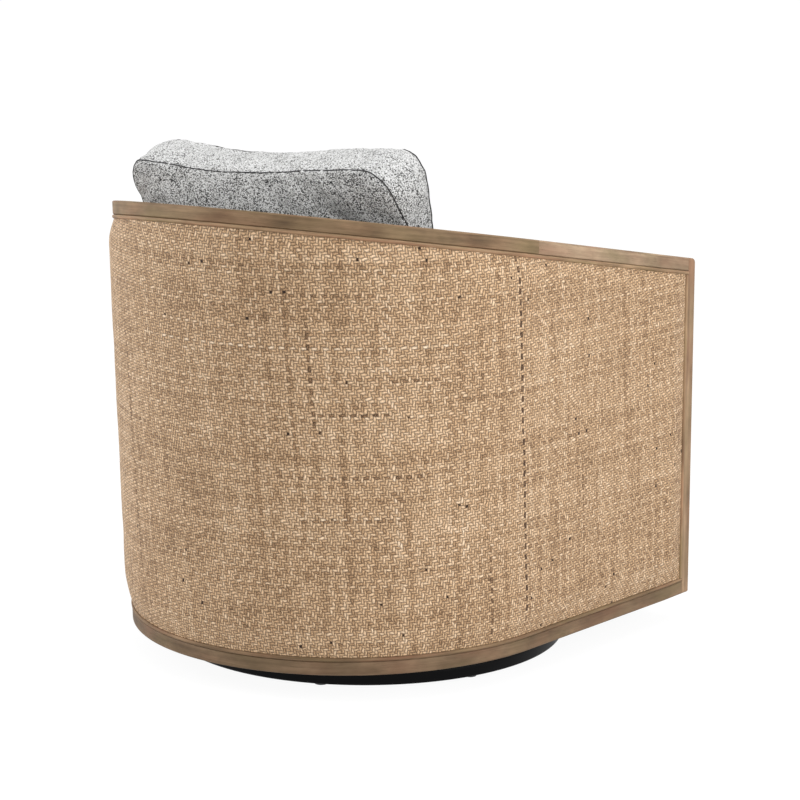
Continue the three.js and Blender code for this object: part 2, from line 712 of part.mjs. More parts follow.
const EDGE_SHARES = [0, 0.1, 0.28, 0.58, 1];

/** Inset of the crowned face, for shares of the way in from an edge and from an arm's end. */
function crownInset(edgeShare, endShare) {
  const swell = (share) => Math.sin((Math.min(share, 1) * Math.PI) / 2);
  return panel.tuck - (panel.bulge + panel.tuck) * swell(edgeShare) * swell(endShare);
}

function panelSpots(station) {
  const endShare = station.side === 0 ? 1 : (station.planeY - panelEndY) / panel.endRise;
  const spot = (share, level) => ({ inset: crownInset(share, endShare), ...level });
  return [
    ...EDGE_SHARES.map((share) => spot(share, { drop: panelTop + share * panel.topRise })),
    ...EDGE_SHARES.toReversed().map((share) => spot(share, { rise: panelFoot + share * panel.footRise })),
    { inset: panel.back, rise: panelFoot }, { inset: panel.back, drop: panelTop },
  ];
}

function panelStations() {
  const fading = EDGE_SHARES.slice(1, -1).toReversed();
  const arm = (side) => [
    ...armStations(side, panelEndY).slice(0, -1),
    ...[...fading, 0].map((share) => onArm(side, panelEndY + share * panel.endRise)),
  ];
  return [...arm(-1).reverse(), ...backStations().slice(1, -1), ...arm(1)];
}

/** Four corners of a layer that stands between the bottom rail and the top rail. */
function betweenRails(outer, inner) {
  const drop = rail.height + clearance.seat;
  const rise = barrel.floorGap + rail.height + clearance.seat;
  return () => [
    { inset: outer, drop }, { inset: outer, rise }, { inset: inner, rise }, { inset: inner, drop },
  ];
}

const wovenPanel = add(seatGroup, 'woven_panel', wall(panelStations(), panelSpots), wovenCane());
add(
  seatGroup, 'back_liner',
  wall(wholeStations(armEndY), betweenRails(linerFace, linerFace + liner.thickness)), plywood(),
);
for (const [name, side] of sides) {
  const first = Math.floor(((side * stud.bend) / turn + 1) * (steps.round / 2));
  const flat = backStations().slice(first, first + 2);
  add(seatGroup, `back_stud_${name}`, wall(flat, betweenRails(studFace, rail.width)), plywood());
}

// Upholstered inside of the wall: round back and two arms

const paddingFace = roomFace + padding.thickness;
const paddingChamfer = padding.round * CHAMFER_SHARE;
const paddingSpots = () => [
  { inset: roomFace, rise: seat.frameTop + clearance.seat },
  { inset: paddingFace, rise: seat.frameTop + clearance.seat },
  { inset: paddingFace, drop: padding.topDrop + padding.round },
  { inset: paddingFace - paddingChamfer, drop: padding.topDrop + paddingChamfer },
  { inset: paddingFace - padding.round, drop: padding.topDrop },
  { inset: roomFace, drop: padding.topDrop },
];

const insideBack = add(seatGroup, 'inside_back', wall(backRun(), paddingSpots), speckledFabric());
for (const [name, side] of sides) {
  add(seatGroup, `inside_arm_${name}`, wall(armStations(side, apronFrontY), paddingSpots), speckledFabric());
}

// Seat frame: an upholstered front rail, two plywood hoops, two cross rails and the dust sheet

function hoopSpots(low) {
  const [outer, inner, high] = [roomFace, roomFace + hoop.width, low + hoop.thickness];
  return () => [
    { inset: outer, rise: low }, { inset: inner, rise: low },
    { inset: inner, rise: high }, { inset: outer, rise: high },
  ];
}

const hoopStations = () => wholeStations(apronBackY + clearance.seat);

/** Plan outline that fills the room inside the wall at one height, with a straight front. */
function roomOutline(inset, height, endY) {
  return wholeStations(endY)
    .map((station) => wallPoint(station, { inset, rise: height }).slice(0, 2));
}

/** Half the width of the room inside the lower hoop, where a plane across the chair cuts it. */
function hoopRoom(planeY) {
  const inset = roomFace + hoop.width + leanAt(planeY, lowerHoopBottom);
  const startY = planPoint(onBack(turn), inset)[1];
  if (planeY < startY) return planPoint(onArm(1, planeY), inset)[0];
  return Math.sqrt((barrel.backRadius - inset) ** 2 - (planeY - arcCentreY) ** 2);
}

/** Cross rail lapped over the lower hoop: its body fits between the hoop's edges. */
function crossRailBody(middleY) {
  const from = middleY - crossRail.width / 2;
  const to = middleY + crossRail.width / 2;
  const room = Math.min(hoopRoom(from), hoopRoom(to)) - clearance.lap;
  const reach = Math.min(hoopRoom(from), hoopRoom(to)) + crossRail.tab;
  const lap = lowerHoopTop + clearance.seat;
  const top = lowerHoopBottom + crossRail.height;
  return prismAlongY(polygon([
    [-room, lowerHoopBottom], [room, lowerHoopBottom], [room, lap], [reach, lap],
    [reach, top], [-reach, top], [-reach, lap], [-room, lap],
  ]), from, to);
}

function apronBody() {
  const low = barrel.floorGap + rail.height + clearance.seat;
  return slab(frontOutline(apronFrontY, apronBackY), low, seat.frameTop);
}

function deckBody() {
  const inset = paddingFace + clearance.seat;
  const sheetPart = slab(polygon(roomOutline(inset, deckBottom, apronFrontY)), deckBottom, deckTop);
  const corner = (side, planeY) => planPoint(onArm(side, planeY), inset);
  const rollBackY = apronFrontY + seat.rollDepth;
  const roll = slab(polygon([
    corner(-1, apronFrontY), corner(1, apronFrontY), corner(1, rollBackY), corner(-1, rollBackY),
  ]), seat.frameTop + clearance.seat, deckBottom + seat.deckThickness / 2);
  return joined(sheetPart, roll);
}

const hoopInnerRadius = barrel.backRadius - roomFace - hoop.width;
const waveSpacing = (2 * (hoopInnerRadius - wave.sideRoom)) / (wave.count - 1);

/** Zigzag seat spring from the front rail to the upper hoop, bowed upward between them. */
function wavePoints(x) {
  const backY = arcCentreY + Math.sqrt(hoopInnerRadius ** 2 - (Math.abs(x) + wave.width / 2) ** 2);
  const from = apronFrontY + seat.rollDepth + wave.wire;
  const to = backY + wave.landing;
  const waves = Math.round((to - from) / wave.pitch);
  const low = seat.frameTop + clearance.seat + wave.wire / 2;
  return range(0, 1, waves * steps.wave).map((share) => new THREE.Vector3(
    x + (wave.width / 2) * Math.cos(share * waves * Math.PI * 2),
    THREE.MathUtils.lerp(from, to, share),
    low + wave.crown * Math.sin(share * Math.PI),
  ));
}

add(seatGroup, 'front_apron', apronBody(), speckledFabric());
add(seatGroup, 'lower_hoop', wall(hoopStations(), hoopSpots(lowerHoopBottom)), plywood());
add(seatGroup, 'upper_hoop', wall(hoopStations(), hoopSpots(seat.frameTop - hoop.thickness)), plywood());
add(seatGroup, 'cross_rail_front', crossRailBody(ring.centreY - crossRail.spread), plywood());
add(seatGroup, 'cross_rail_rear', crossRailBody(ring.centreY + crossRail.spread), plywood());
const sheetOutline = polygon(roomOutline(sheet.inset, sheetBottom, apronBackY + clearance.seat));
add(seatGroup, 'dust_sheet', slab(sheetOutline, sheetBottom, sheetBottom + sheet.thickness), blackCloth());
for (let i = 0; i < wave.count; i += 1) {
  const points = wavePoints((i - (wave.count - 1) / 2) * waveSpacing);
  add(seatGroup, `seat_spring_${i + 1}`, wireAlong(points, wave.wire, steps.waveSides), springSteel());
  console.log(`seat_spring_${i + 1} least gap, mm:`, leastGap(points, wave.wire).toFixed(2));
}
add(seatGroup, 'seat_deck', deckBody(), deckCloth());

// Cushions: an outline swept through its thickness, drawn in at the seams and crowned at the middle

/** Stack of copies of an outline. A profile row is a shrink share toward the middle and a height. */
function cushionBody(outline, profile) {
  const count = outline.length;
  const middle = outline.reduce(([sx, sy], [x, y]) => [sx + x / count, sy + y / count], [0, 0]);
  const rings = profile.map(([shrink, height]) => outline.map(([x, y]) => [
    THREE.MathUtils.lerp(x, middle[0], shrink), THREE.MathUtils.lerp(y, middle[1], shrink), height,
  ]));
  return loft(rings);
}

const SEAT_PROFILE_SHARES = [
  [0.07, 0], [0.018, 0.035], [0.006, 0.12], [0, 0.32], [0.002, 0.52], [0.012, 0.7], [0.03, 0.79],
  [0.09, 0.86], [0.26, 0.945], [0.5, 0.985], [0.78, 1],
];
const BACK_PROFILE_SHARES = [
  [0.8, 0], [0.5, 0.03], [0.26, 0.075], [0.1, 0.14], [0.03, 0.2], [0.008, 0.3], [0, 0.5],
  [0.008, 0.7], [0.03, 0.8], [0.1, 0.86], [0.26, 0.925], [0.5, 0.97], [0.8, 1],
];

function seatCushionBody() {
  const reach = new THREE.Box3().setFromObject(wovenPanel).max.y;
  const radius = seatCushion.cornerRadius;
  const frontEdge = -reach + seatCushion.frontBow;
  const girth = cushionBottom + seatCushion.thickness * GIRTH_SHARE;
  const room = roomOutline(cushionInset, girth, frontEdge + radius);
  const [cornerX, cornerY] = room.at(-1);
  const round = range(0, Math.PI / 2, steps.cushionCorner).slice(1).map((a) => [
    cornerX - radius * (1 - Math.cos(a)), cornerY - radius * Math.sin(a),
  ]);
  const straight = cornerX - radius;
  const front = range(1, -1, steps.cushionFront).slice(1, -1).map((share) => [
    straight * share, frontEdge - seatCushion.frontBow * (1 - share * share),
  ]);
  const outline = [...room, ...round, ...front, ...round.toReversed().map(([x, y]) => [-x, y])];
  return cushionBody(outline, SEAT_PROFILE_SHARES.map(([shrink, share]) => [
    shrink, cushionBottom + share * seatCushion.thickness,
  ]));
}

/** Face outline of the back cushion: round corners, and a top edge that sags between them. */
function backOutline() {
  const { width, height, cornerRadius, topSag } = backCushion;
  const x = width / 2 - cornerRadius;
  const corner = (side, z, from) => range(from, from + Math.PI / 2, steps.cushionCorner).map((a) => [
    side * x + cornerRadius * Math.cos(a), z + cornerRadius * Math.sin(a),
  ]);
  const top = range(x, -x, steps.cushionTop).slice(1, -1).map((place) => [
    place, height - topSag * Math.cos((place / x) * (Math.PI / 2)),
  ]);
  return [
    ...corner(1, height - cornerRadius, 0), ...top, ...corner(-1, height - cornerRadius, Math.PI / 2),
    ...corner(-1, cornerRadius, Math.PI), ...corner(1, cornerRadius, Math.PI * 1.5),
  ];
}

/** Places spread evenly along every edge of a mesh, in the chair's frame. */
function edgePlaces(mesh) {
  const { index, attributes: { position } } = mesh.geometry;
  const corner = (i) => new THREE.Vector3()
    .fromBufferAttribute(position, index.getX(i)).applyMatrix4(mesh.matrixWorld);
  const places = [];
  for (let i = 0; i < index.count; i += 1) {
    const next = i % 3 === 2 ? i - 2 : i + 1;
    if (index.getX(i) < index.getX(next)) {
      const [from, to] = [corner(i), corner(next)];
      range(0, 1, steps.edge).forEach((share) => places.push(from.clone().lerp(to, share)));
    }
  }
  return places;
}

/** How far one mesh can move along a direction before an edge of either meets a face of the other. */
function travelTo(moving, fixed, direction) {
  chair.updateMatrixWorld(true);
  const caster = new THREE.Raycaster();
  const leastRun = (from, onto, way) => edgePlaces(from).reduce((least, place) => {
    caster.set(place, way);
    const [hit] = caster.intersectObject(onto);
    return hit ? Math.min(least, hit.distance) : least;
  }, Infinity);
  return Math.min(leastRun(moving, fixed, direction), leastRun(fixed, moving, direction.clone().negate()));
}

const seatPad = add(seatGroup, 'seat_cushion', seatCushionBody(), speckledFabric());
const backPillow = add(
  seatGroup, 'back_cushion',
  cushionBody(backOutline(), BACK_PROFILE_SHARES.map(([shrink, share]) => [
    shrink, (share - 0.5) * backCushion.thickness,
  ])),
  speckledFabric(),
);

// The back cushion is set down on the seat cushion and pushed back against the wall, until it lies still
const down = new THREE.Vector3(0, 0, -1);
const rearward = new THREE.Vector3(0, 1, 0);
backPillow.rotation.x = Math.PI / 2 - backCushion.tilt;
backPillow.position.z = cushionBottom + seatCushion.thickness + backCushion.thickness;
for (let i = 0; i < steps.settling; i += 1) {
  backPillow.position.z -= travelTo(backPillow, seatPad, down) - clearance.soft;
  backPillow.position.y += travelTo(backPillow, insideBack, rearward) - clearance.cushion;
}

export default chair;
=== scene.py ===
"""Swivel rocker seen from behind: a barrel-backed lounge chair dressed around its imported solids.

Lengths are in metres and +Z is up. The sitter faces -Y, and "left" and "right" are the sitter's.
"""

import json
import logging
import math
from collections.abc import Sequence
from dataclasses import dataclass
from enum import Enum
from functools import cache

import bmesh
import bpy
import numpy as np
from mathutils import Matrix, Vector
from mathutils.bvhtree import BVHTree
from mathutils.kdtree import KDTree

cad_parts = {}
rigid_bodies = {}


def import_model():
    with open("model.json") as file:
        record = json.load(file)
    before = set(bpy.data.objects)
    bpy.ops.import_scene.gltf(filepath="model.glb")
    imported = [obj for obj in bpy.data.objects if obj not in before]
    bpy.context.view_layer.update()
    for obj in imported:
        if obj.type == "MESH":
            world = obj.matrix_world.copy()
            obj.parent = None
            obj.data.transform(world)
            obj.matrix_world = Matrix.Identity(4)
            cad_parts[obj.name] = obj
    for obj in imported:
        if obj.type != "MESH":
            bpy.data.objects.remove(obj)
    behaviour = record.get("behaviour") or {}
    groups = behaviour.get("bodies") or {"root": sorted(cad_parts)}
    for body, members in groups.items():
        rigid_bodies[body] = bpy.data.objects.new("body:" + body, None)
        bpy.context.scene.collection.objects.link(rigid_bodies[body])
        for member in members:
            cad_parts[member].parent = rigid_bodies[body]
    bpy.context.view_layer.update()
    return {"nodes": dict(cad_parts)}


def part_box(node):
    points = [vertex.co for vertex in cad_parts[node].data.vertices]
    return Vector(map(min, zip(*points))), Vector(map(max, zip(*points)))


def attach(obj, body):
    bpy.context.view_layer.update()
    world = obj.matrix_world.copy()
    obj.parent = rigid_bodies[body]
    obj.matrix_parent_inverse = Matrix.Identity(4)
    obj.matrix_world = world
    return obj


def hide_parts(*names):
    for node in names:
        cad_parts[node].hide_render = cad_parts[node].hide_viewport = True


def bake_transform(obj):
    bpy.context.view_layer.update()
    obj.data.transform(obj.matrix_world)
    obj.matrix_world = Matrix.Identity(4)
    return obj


for leftover in list(bpy.data.objects):
    bpy.data.objects.remove(leftover)
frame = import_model()

LOG = logging.getLogger("swivel_rocker")
ON_AXIS = 0.00001
Array = np.ndarray
Piece = bpy.types.Object
Row = tuple[float, ...]
Colour = tuple[float, float, float]


class Body(Enum):
    """A part of the chair that moves as one."""

    BASE = "base"
    CARRIER = "carrier"
    SEAT = "seat"


class Hand(Enum):
    """A side of the chair, as the sitter has it."""

    RIGHT = -1
    LEFT = 1

    @property
    def word(self) -> str:
        """The side's name in a piece's name."""
        return self.name.lower()


# Curves and sections


def eased(share: Array | float) -> Array:
    """Share from 0 to 1 that starts and ends gently."""
    held = np.clip(share, 0.0, 1.0)
    return held * held * (3.0 - 2.0 * held)


def arc(middle: Row, radius: float, start: float, end: float, count: int) -> Array:
    """Points of an arc between two angles in degrees."""
    angles = np.radians(np.linspace(start, end, count))
    return np.array(middle) + radius * np.column_stack([np.cos(angles), np.sin(angles)])


def rounded_box(low: Row, high: Row, radii: Sequence[float], steps: int = 5) -> Array:
    """Outline of a rectangle with round corners.

    Args:
        low: Lowest corner in the section's two directions.
        high: Highest corner.
        radii: Corner radii, from the lowest corner round by the end of the first direction.
        steps: Straight pieces in each corner.

    Returns:
        The outline's points, one row each.
    """
    corners = [(low[0], low[1], 180), (high[0], low[1], 270), (high[0], high[1], 0), (low[0], high[1], 90)]
    points = []
    for (a, b, start), radius in zip(corners, radii):
        middle = (a + radius * (1 if a == low[0] else -1), b + radius * (1 if b == low[1] else -1))
        points.append(arc(middle, radius, start, start + 90, steps + 1))
    return np.vstack(points)


def girth(section: Array) -> Array:
    """Distance travelled round a closed section, back to its first point."""
    closed = np.vstack([section, section[:1]])
    return np.append(0.0, np.cumsum(np.linalg.norm(np.diff(closed, axis=0), axis=1)))


def drawn_in(outline: Array, shrink: float) -> Array:
    """An outline drawn in toward its middle by a share."""
    return outline + (outline.mean(0) - outline) * shrink


def level_ring(plan: Array, height: Array | float) -> Array:
    """A plan outline raised to a height."""
    return np.column_stack([plan, np.broadcast_to(height, len(plan))])


def lengthwise(section: Array, runs: Array) -> Array:
    """Surface coordinates of a section drawn along runs."""
    return np.stack(np.meshgrid(runs, girth(section), indexing="ij"), -1)


def ripples(points: Array, waves: Sequence[Row], seed: int) -> Array:
    """Smooth unevenness made of a few crossing waves.

    Args:
        points: Places, one row each.
        waves: Wavelength and height of each set of waves.
        seed: Number that fixes the waves' directions.

    Returns:
        One height for each place.
    """
    dice = np.random.default_rng(seed)
    total = np.zeros(len(points))
    for length, height in waves:
        for _ in range(5):
            way = dice.normal(size=points.shape[1])
            way /= np.linalg.norm(way)
            stretch = dice.uniform(0.75, 1.35)
            phase = dice.uniform(0, 2 * math.pi)
            total += height / 2.3 * np.sin(points @ way * (2 * math.pi * stretch / length) + phase)
    return total


# Meshes


def make_piece(
    name: str, points: Array, faces: list, coords: Array | None = None, crease: float = 38,
) -> Piece:
    """Smooth-shaded mesh whose faces look outward.

    Args:
        name: Name of the piece.
        points: Its corners, one row each.
        faces: Corner numbers of each face.
        coords: Surface coordinates of each face's corners, in metres.
        crease: Angle in degrees above which an edge stays sharp.

    Returns:
        The piece.
    """
    mesh = bpy.data.meshes.new(name)
    mesh.from_pydata(np.asarray(points).tolist(), [], faces)
    if coords is not None:
        mesh.uv_layers.new(name="UVMap").data.foreach_set("uv", np.asarray(coords, float).ravel())
    draft = bmesh.new()
    draft.from_mesh(mesh)
    bmesh.ops.remove_doubles(draft, verts=draft.verts, dist=2e-6)
    bmesh.ops.recalc_face_normals(draft, faces=draft.faces)
    draft.to_mesh(mesh)
    draft.free()
    mesh.shade_smooth()
    mesh.set_sharp_from_angle(angle=math.radians(crease))
    piece = bpy.data.objects.new(name, mesh)
    bpy.context.scene.collection.objects.link(piece)
    return piece


def skin(
    name: str, rings: Array, coords: Array | None = None, looped: bool = False, crease: float = 38,
) -> Piece:
    """Surface over a row of closed sections, capped at both ends unless the row itself closes.

    Args:
        name: Name of the piece.
        rings: Sections, as sections by points by three.
        coords: Surface coordinates, with one more point in each section, and one more section if looped.
        looped: Whether the last section joins the first.
        crease: Angle in degrees above which an edge stays sharp.

    Returns:
        The piece.
    """
    count, sides = rings.shape[:2]
    i, j = np.meshgrid(np.arange(count if looped else count - 1), np.arange(sides), indexing="ij")
    after, beside = (i + 1) % count, (j + 1) % sides
    quads = np.stack([i * sides + j, after * sides + j, after * sides + beside, i * sides + beside], -1)
    faces = quads.reshape(-1, 4).tolist()
    if coords is None:
        spans = np.append(0, np.cumsum(np.linalg.norm(np.diff(rings[:, 0], axis=0), axis=1)))
        spans = np.append(spans, 2 * spans[-1] - spans[-2]) if looped else spans
        coords = np.stack(np.meshgrid(spans, girth(rings[count // 2]), indexing="ij"), -1)
    corner = np.stack([coords[i, j], coords[i + 1, j], coords[i + 1, j + 1], coords[i, j + 1]], 2)
    flat = corner.reshape(-1, 2)
    if not looped:
        faces += [list(range(sides)), list(range((count - 1) * sides, count * sides))]
        flat = np.vstack([flat, coords[0, :sides], coords[count - 1, :sides]])
    return make_piece(name, rings.reshape(-1, 3), faces, flat, crease)


def turned(name: str, profile: Sequence[Row], centre: Row, segments: int = 96) -> Piece:
    """Body turned about an upright axis.

    Args:
        name: Name of the piece.
        profile: Radius and height of each point of the closed outline.
        centre: Plan place of the axis.
        segments: Sides of the turned surface.

    Returns:
        The piece.
    """
    angles = np.arange(segments) * 2 * math.pi / segments
    rim = np.array(profile)
    rings = np.stack([
        centre[0] + np.outer(np.cos(angles), rim[:, 0]),
        centre[1] + np.outer(np.sin(angles), rim[:, 0]),
        np.broadcast_to(rim[:, 1], (segments, len(rim))),
    ], -1)
    return skin(name, rings, looped=True)


def tube(name: str, path: Array, radius: float, sides: int = 10, looped: bool = False) -> Piece:
    """Round wire or thread along a path.

    Args:
        name: Name of the piece.
        path: Points of its middle line.
        radius: Half its thickness.
        sides: Sides of its section.
        looped: Whether the path closes.

    Returns:
        The piece.
    """
    count = len(path)
    ahead = np.roll(path, -1, 0) - np.roll(path, 1, 0)
    if not looped:
        ahead[0], ahead[-1] = path[1] - path[0], path[-1] - path[-2]
    ahead /= np.linalg.norm(ahead, axis=1)[:, None]
    across = np.cross(ahead[0], (0.3, 0.2, 0.93))
    rings = []
    for i in range(count):
        across = across - ahead[i] * (across @ ahead[i])
        across /= np.linalg.norm(across)
        up = np.cross(ahead[i], across)
        angles = np.arange(sides) * 2 * math.pi / sides
        rings.append(path[i] + radius * (np.outer(np.cos(angles), across) + np.outer(np.sin(angles), up)))
    return skin(name, np.array(rings), looped=looped, crease=60)


def joined(name: str, parts: Sequence[Piece]) -> Piece:
    """Join pieces into one and name it."""
    with bpy.context.temp_override(active_object=parts[0], selected_editable_objects=list(parts)):
        bpy.ops.object.join()
    parts[0].name = name
    parts[0].data.name = name
    return parts[0]


def places(piece: Piece, kind: str = "co") -> Array:
    """Corners of a piece's mesh, one row each, or with another kind their outward directions."""
    flat = np.zeros(len(piece.data.vertices) * 3)
    piece.data.vertices.foreach_get(kind, flat)
    return flat.reshape(-1, 3)


def outward(piece: Piece) -> Array:
    """Outward direction at each corner of a piece's mesh."""
    return places(piece, "normal")


def move_to(piece: Piece, points: Array) -> None:
    """Put the corners of a piece's mesh at new places."""
    piece.data.vertices.foreach_set("co", np.asarray(points, float).ravel())
    piece.data.update()


def surface_tree(mesh: bpy.types.Mesh) -> BVHTree:
    """Search tree over a mesh's faces."""
    return BVHTree.FromPolygons([v.co for v in mesh.vertices], [p.vertices[:] for p in mesh.polygons])


def bake(piece: Piece) -> None:
    """Turn a piece's modifiers into its mesh."""
    graph = bpy.context.evaluated_depsgraph_get()
    mesh = bpy.data.meshes.new_from_object(piece.evaluated_get(graph), depsgraph=graph)
    piece.modifiers.clear()
    old, name = piece.data, piece.name
    piece.data = mesh
    bpy.data.meshes.remove(old)
    mesh.name = name


# Materials


def linear(red: float, green: float, blue: float) -> Colour:
    """Linear colour of a screen colour given from 0 to 255."""
    return tuple(c / 3294.6 if c <= 10.3 else ((c / 255 + 0.055) / 1.055) ** 2.4 for c in (red, green, blue))


class Signal:
    """A number that runs through a material's nodes; arithmetic on it adds nodes."""

    def __init__(self, shader: "Nodes", socket: bpy.types.NodeSocket) -> None:
        """Hold the output that carries the number."""
        self.shader = shader
        self.socket = socket

    def step(self, kind: str, *others: "Signal | float") -> "Signal":
        """Pass the number, with others if given, through one Math node."""
        return self.shader.math(kind, self, *others)

    def __add__(self, other: "Signal | float") -> "Signal":
        """Sum."""
        return self.step("ADD", other)

    def __sub__(self, other: "Signal | float") -> "Signal":
        """Difference."""
        return self.step("SUBTRACT", other)

    def __rsub__(self, other: float) -> "Signal":
        """Difference from a plain number."""
        return self.shader.math("SUBTRACT", other, self)

    def __mul__(self, other: "Signal | float") -> "Signal":
        """Product."""
        return self.step("MULTIPLY", other)

    def __truediv__(self, other: "Signal | float") -> "Signal":
        """Quotient."""
        return self.step("DIVIDE", other)

    def __pow__(self, other: float) -> "Signal":
        """Power."""
        return self.step("POWER", other)

    __radd__ = __add__
    __rmul__ = __mul__

    def floor(self) -> "Signal":
        """Whole number below."""
        return self.step("FLOOR")

    def between(self, low: float, high: float) -> "Signal":
        """Share of the way from one level to another, held within 0 and 1."""
        return ((self - low) / (high - low)).step("MINIMUM", 1.0).step("MAXIMUM", 0.0)

    def near(self, place: float, reach: float) -> "Signal":
        """1 at a place, falling to 0 at a reach from it."""
        return (1.0 - (self - place).step("ABSOLUTE") / reach).step("MAXIMUM", 0.0)


class Nodes:
    """A node tree under construction."""

    def __init__(self, tree: bpy.types.NodeTree) -> None:
        """Start with an empty tree."""
        self.tree = tree
        self.tree.nodes.clear()

    def feed(self, socket: bpy.types.NodeSocket, value: object) -> None:
        """Give an input a signal, another node's output, or a plain value."""
        source = value.socket if isinstance(value, Signal) else value
        if isinstance(source, bpy.types.NodeSocket):
            self.tree.links.new(source, socket)
        elif socket.type == "RGBA":
            socket.default_value = (*source, 1.0)
        else:
            socket.default_value = source

    def node(self, kind: str, inputs: dict[str | int, object], **settings: object) -> bpy.types.Node:
        """Add a node.

        Args:
            kind: Node type, without its usual first word.
            inputs: Values of its inputs.
            **settings: Its other settings.

        Returns:
            The node.
        """
        made = self.tree.nodes.new("ShaderNode" + kind)
        for name, value in settings.items():
            setattr(made, name, value)
        for key, value in inputs.items():
            self.feed(made.inputs[key], value)
        return made

    def math(self, kind: str, *values: Signal | float) -> Signal:
        """One Math node."""
        return Signal(self, self.node("Math", dict(enumerate(values)), operation=kind).outputs[0])

    def seen_ray(self) -> Signal:
        """1 for rays from the camera, off gloss or through glass."""
        path = self.node("LightPath", {}).outputs
        total = Signal(self, path["Is Camera Ray"])
        for name in ("Is Glossy Ray", "Is Transmission Ray"):
            total = total.step("MAXIMUM", Signal(self, path[name]))
        return total


class Shader(Nodes):
    """A principled material under construction."""

    def __init__(self, name: str) -> None:
        """Start a material with a bare surface."""
        self.material = bpy.data.materials.new(name)
        self.material.use_nodes = True
        super().__init__(self.material.node_tree)
        self.surface = self.node("BsdfPrincipled", {})
        self.output = self.node("OutputMaterial", {0: self.surface.outputs[0]})

    def choose(self, flag: Signal, yes: Signal | float, no: Signal | float) -> Signal:
        """The first value where a flag is 1, and the second where it is 0."""
        return flag * yes + (1.0 - flag) * no

    def split(self, kind: str, output: str) -> list[Signal]:
        """The three parts of a node's output."""
        parts = self.node("SeparateXYZ", {0: self.node(kind, {}).outputs[output]})
        return [Signal(self, out) for out in parts.outputs]

    def surface_metres(self) -> list[Signal]:
        """The surface coordinates, in metres."""
        return self.split("TexCoord", "UV")[:2]

    def solid_metres(self) -> list[Signal]:
        """Coordinates in the piece, in metres."""
        return self.split("TexCoord", "Object")

    def upward(self) -> Signal:
        """How far the surface faces up."""
        return self.split("NewGeometry", "Normal")[2]

    def vector(self, x: Signal | float, y: Signal | float, z: Signal | float = 0.0) -> bpy.types.NodeSocket:
        """Join three numbers."""
        return self.node("CombineXYZ", {0: x, 1: y, 2: z}).outputs[0]

    def noise(
        self, place: bpy.types.NodeSocket, scale: float, detail: float = 2.0, rough: float = 0.5,
    ) -> Signal:
        """Cloudy noise about one half."""
        made = self.node("TexNoise", {"Vector": place, "Scale": scale, "Detail": detail, "Roughness": rough})
        return Signal(self, made.outputs[0])

    def dice(self, x: Signal | float, y: Signal | float, z: float = 0.0) -> Signal:
        """A random number for each whole place."""
        made = self.node("TexWhiteNoise", {"Vector": self.vector(x, y, z)}, noise_dimensions="3D")
        return Signal(self, made.outputs["Value"])

    def ramp(self, level: Signal, stops: Sequence[tuple[float, Colour]]) -> bpy.types.NodeSocket:
        """Colour that a level has on a scale of screen colours."""
        made = self.node("ValToRGB", {0: level})
        scale = made.color_ramp
        while len(scale.elements) < len(stops):
            scale.elements.new(0.5)
        for element, (place, colour) in zip(scale.elements, stops):
            element.position = place
            element.color = (*linear(*colour), 1.0)
        return made.outputs[0]

    def mix(self, share: Signal | float, first: object, second: object) -> bpy.types.NodeSocket:
        """Mix two colours."""
        made = self.node("Mix", {}, data_type="RGBA")
        for place, value in ((0, share), (6, first), (7, second)):
            self.feed(made.inputs[place], value)
        return made.outputs[2]

    def dim(self, colour: object, level: Signal) -> bpy.types.NodeSocket:
        """Multiply a colour by a level."""
        return self.node("VectorMath", {0: colour, 3: level}, operation="SCALE").outputs[0]

    def bump(self, height: Signal, depth: float) -> bpy.types.NodeSocket:
        """Normal of a relief of a given depth in metres."""
        return self.node("Bump", {"Height": height, "Distance": depth, "Strength": 1.0}).outputs[0]

    def dress(self, **inputs: object) -> bpy.types.Material:
        """Set the surface's inputs, named with _ for each space, and return the material."""
        for name, value in inputs.items():
            label = {"ior": "IOR", "specular": "Specular IOR Level"}.get(name, name.replace("_", " ").title())
            self.feed(self.surface.inputs[label], value)
        return self.material


@dataclass(frozen=True)
class Finish:
    """One finish of the chair; its material is made when it is first used."""

    name: str

    @cache
    def material(self) -> bpy.types.Material:
        """The finish's material."""
        return self.make(Shader(self.name))

    def make(self, shader: Shader) -> bpy.types.Material:
        """Build the material."""
        raise NotImplementedError


@dataclass(frozen=True)
class Streak:
    """One strand that is darker, or with a minus sign paler, along a stretch of its length."""

    place: float
    start: float
    end: float
    depth: float
    strands: float = 1.0


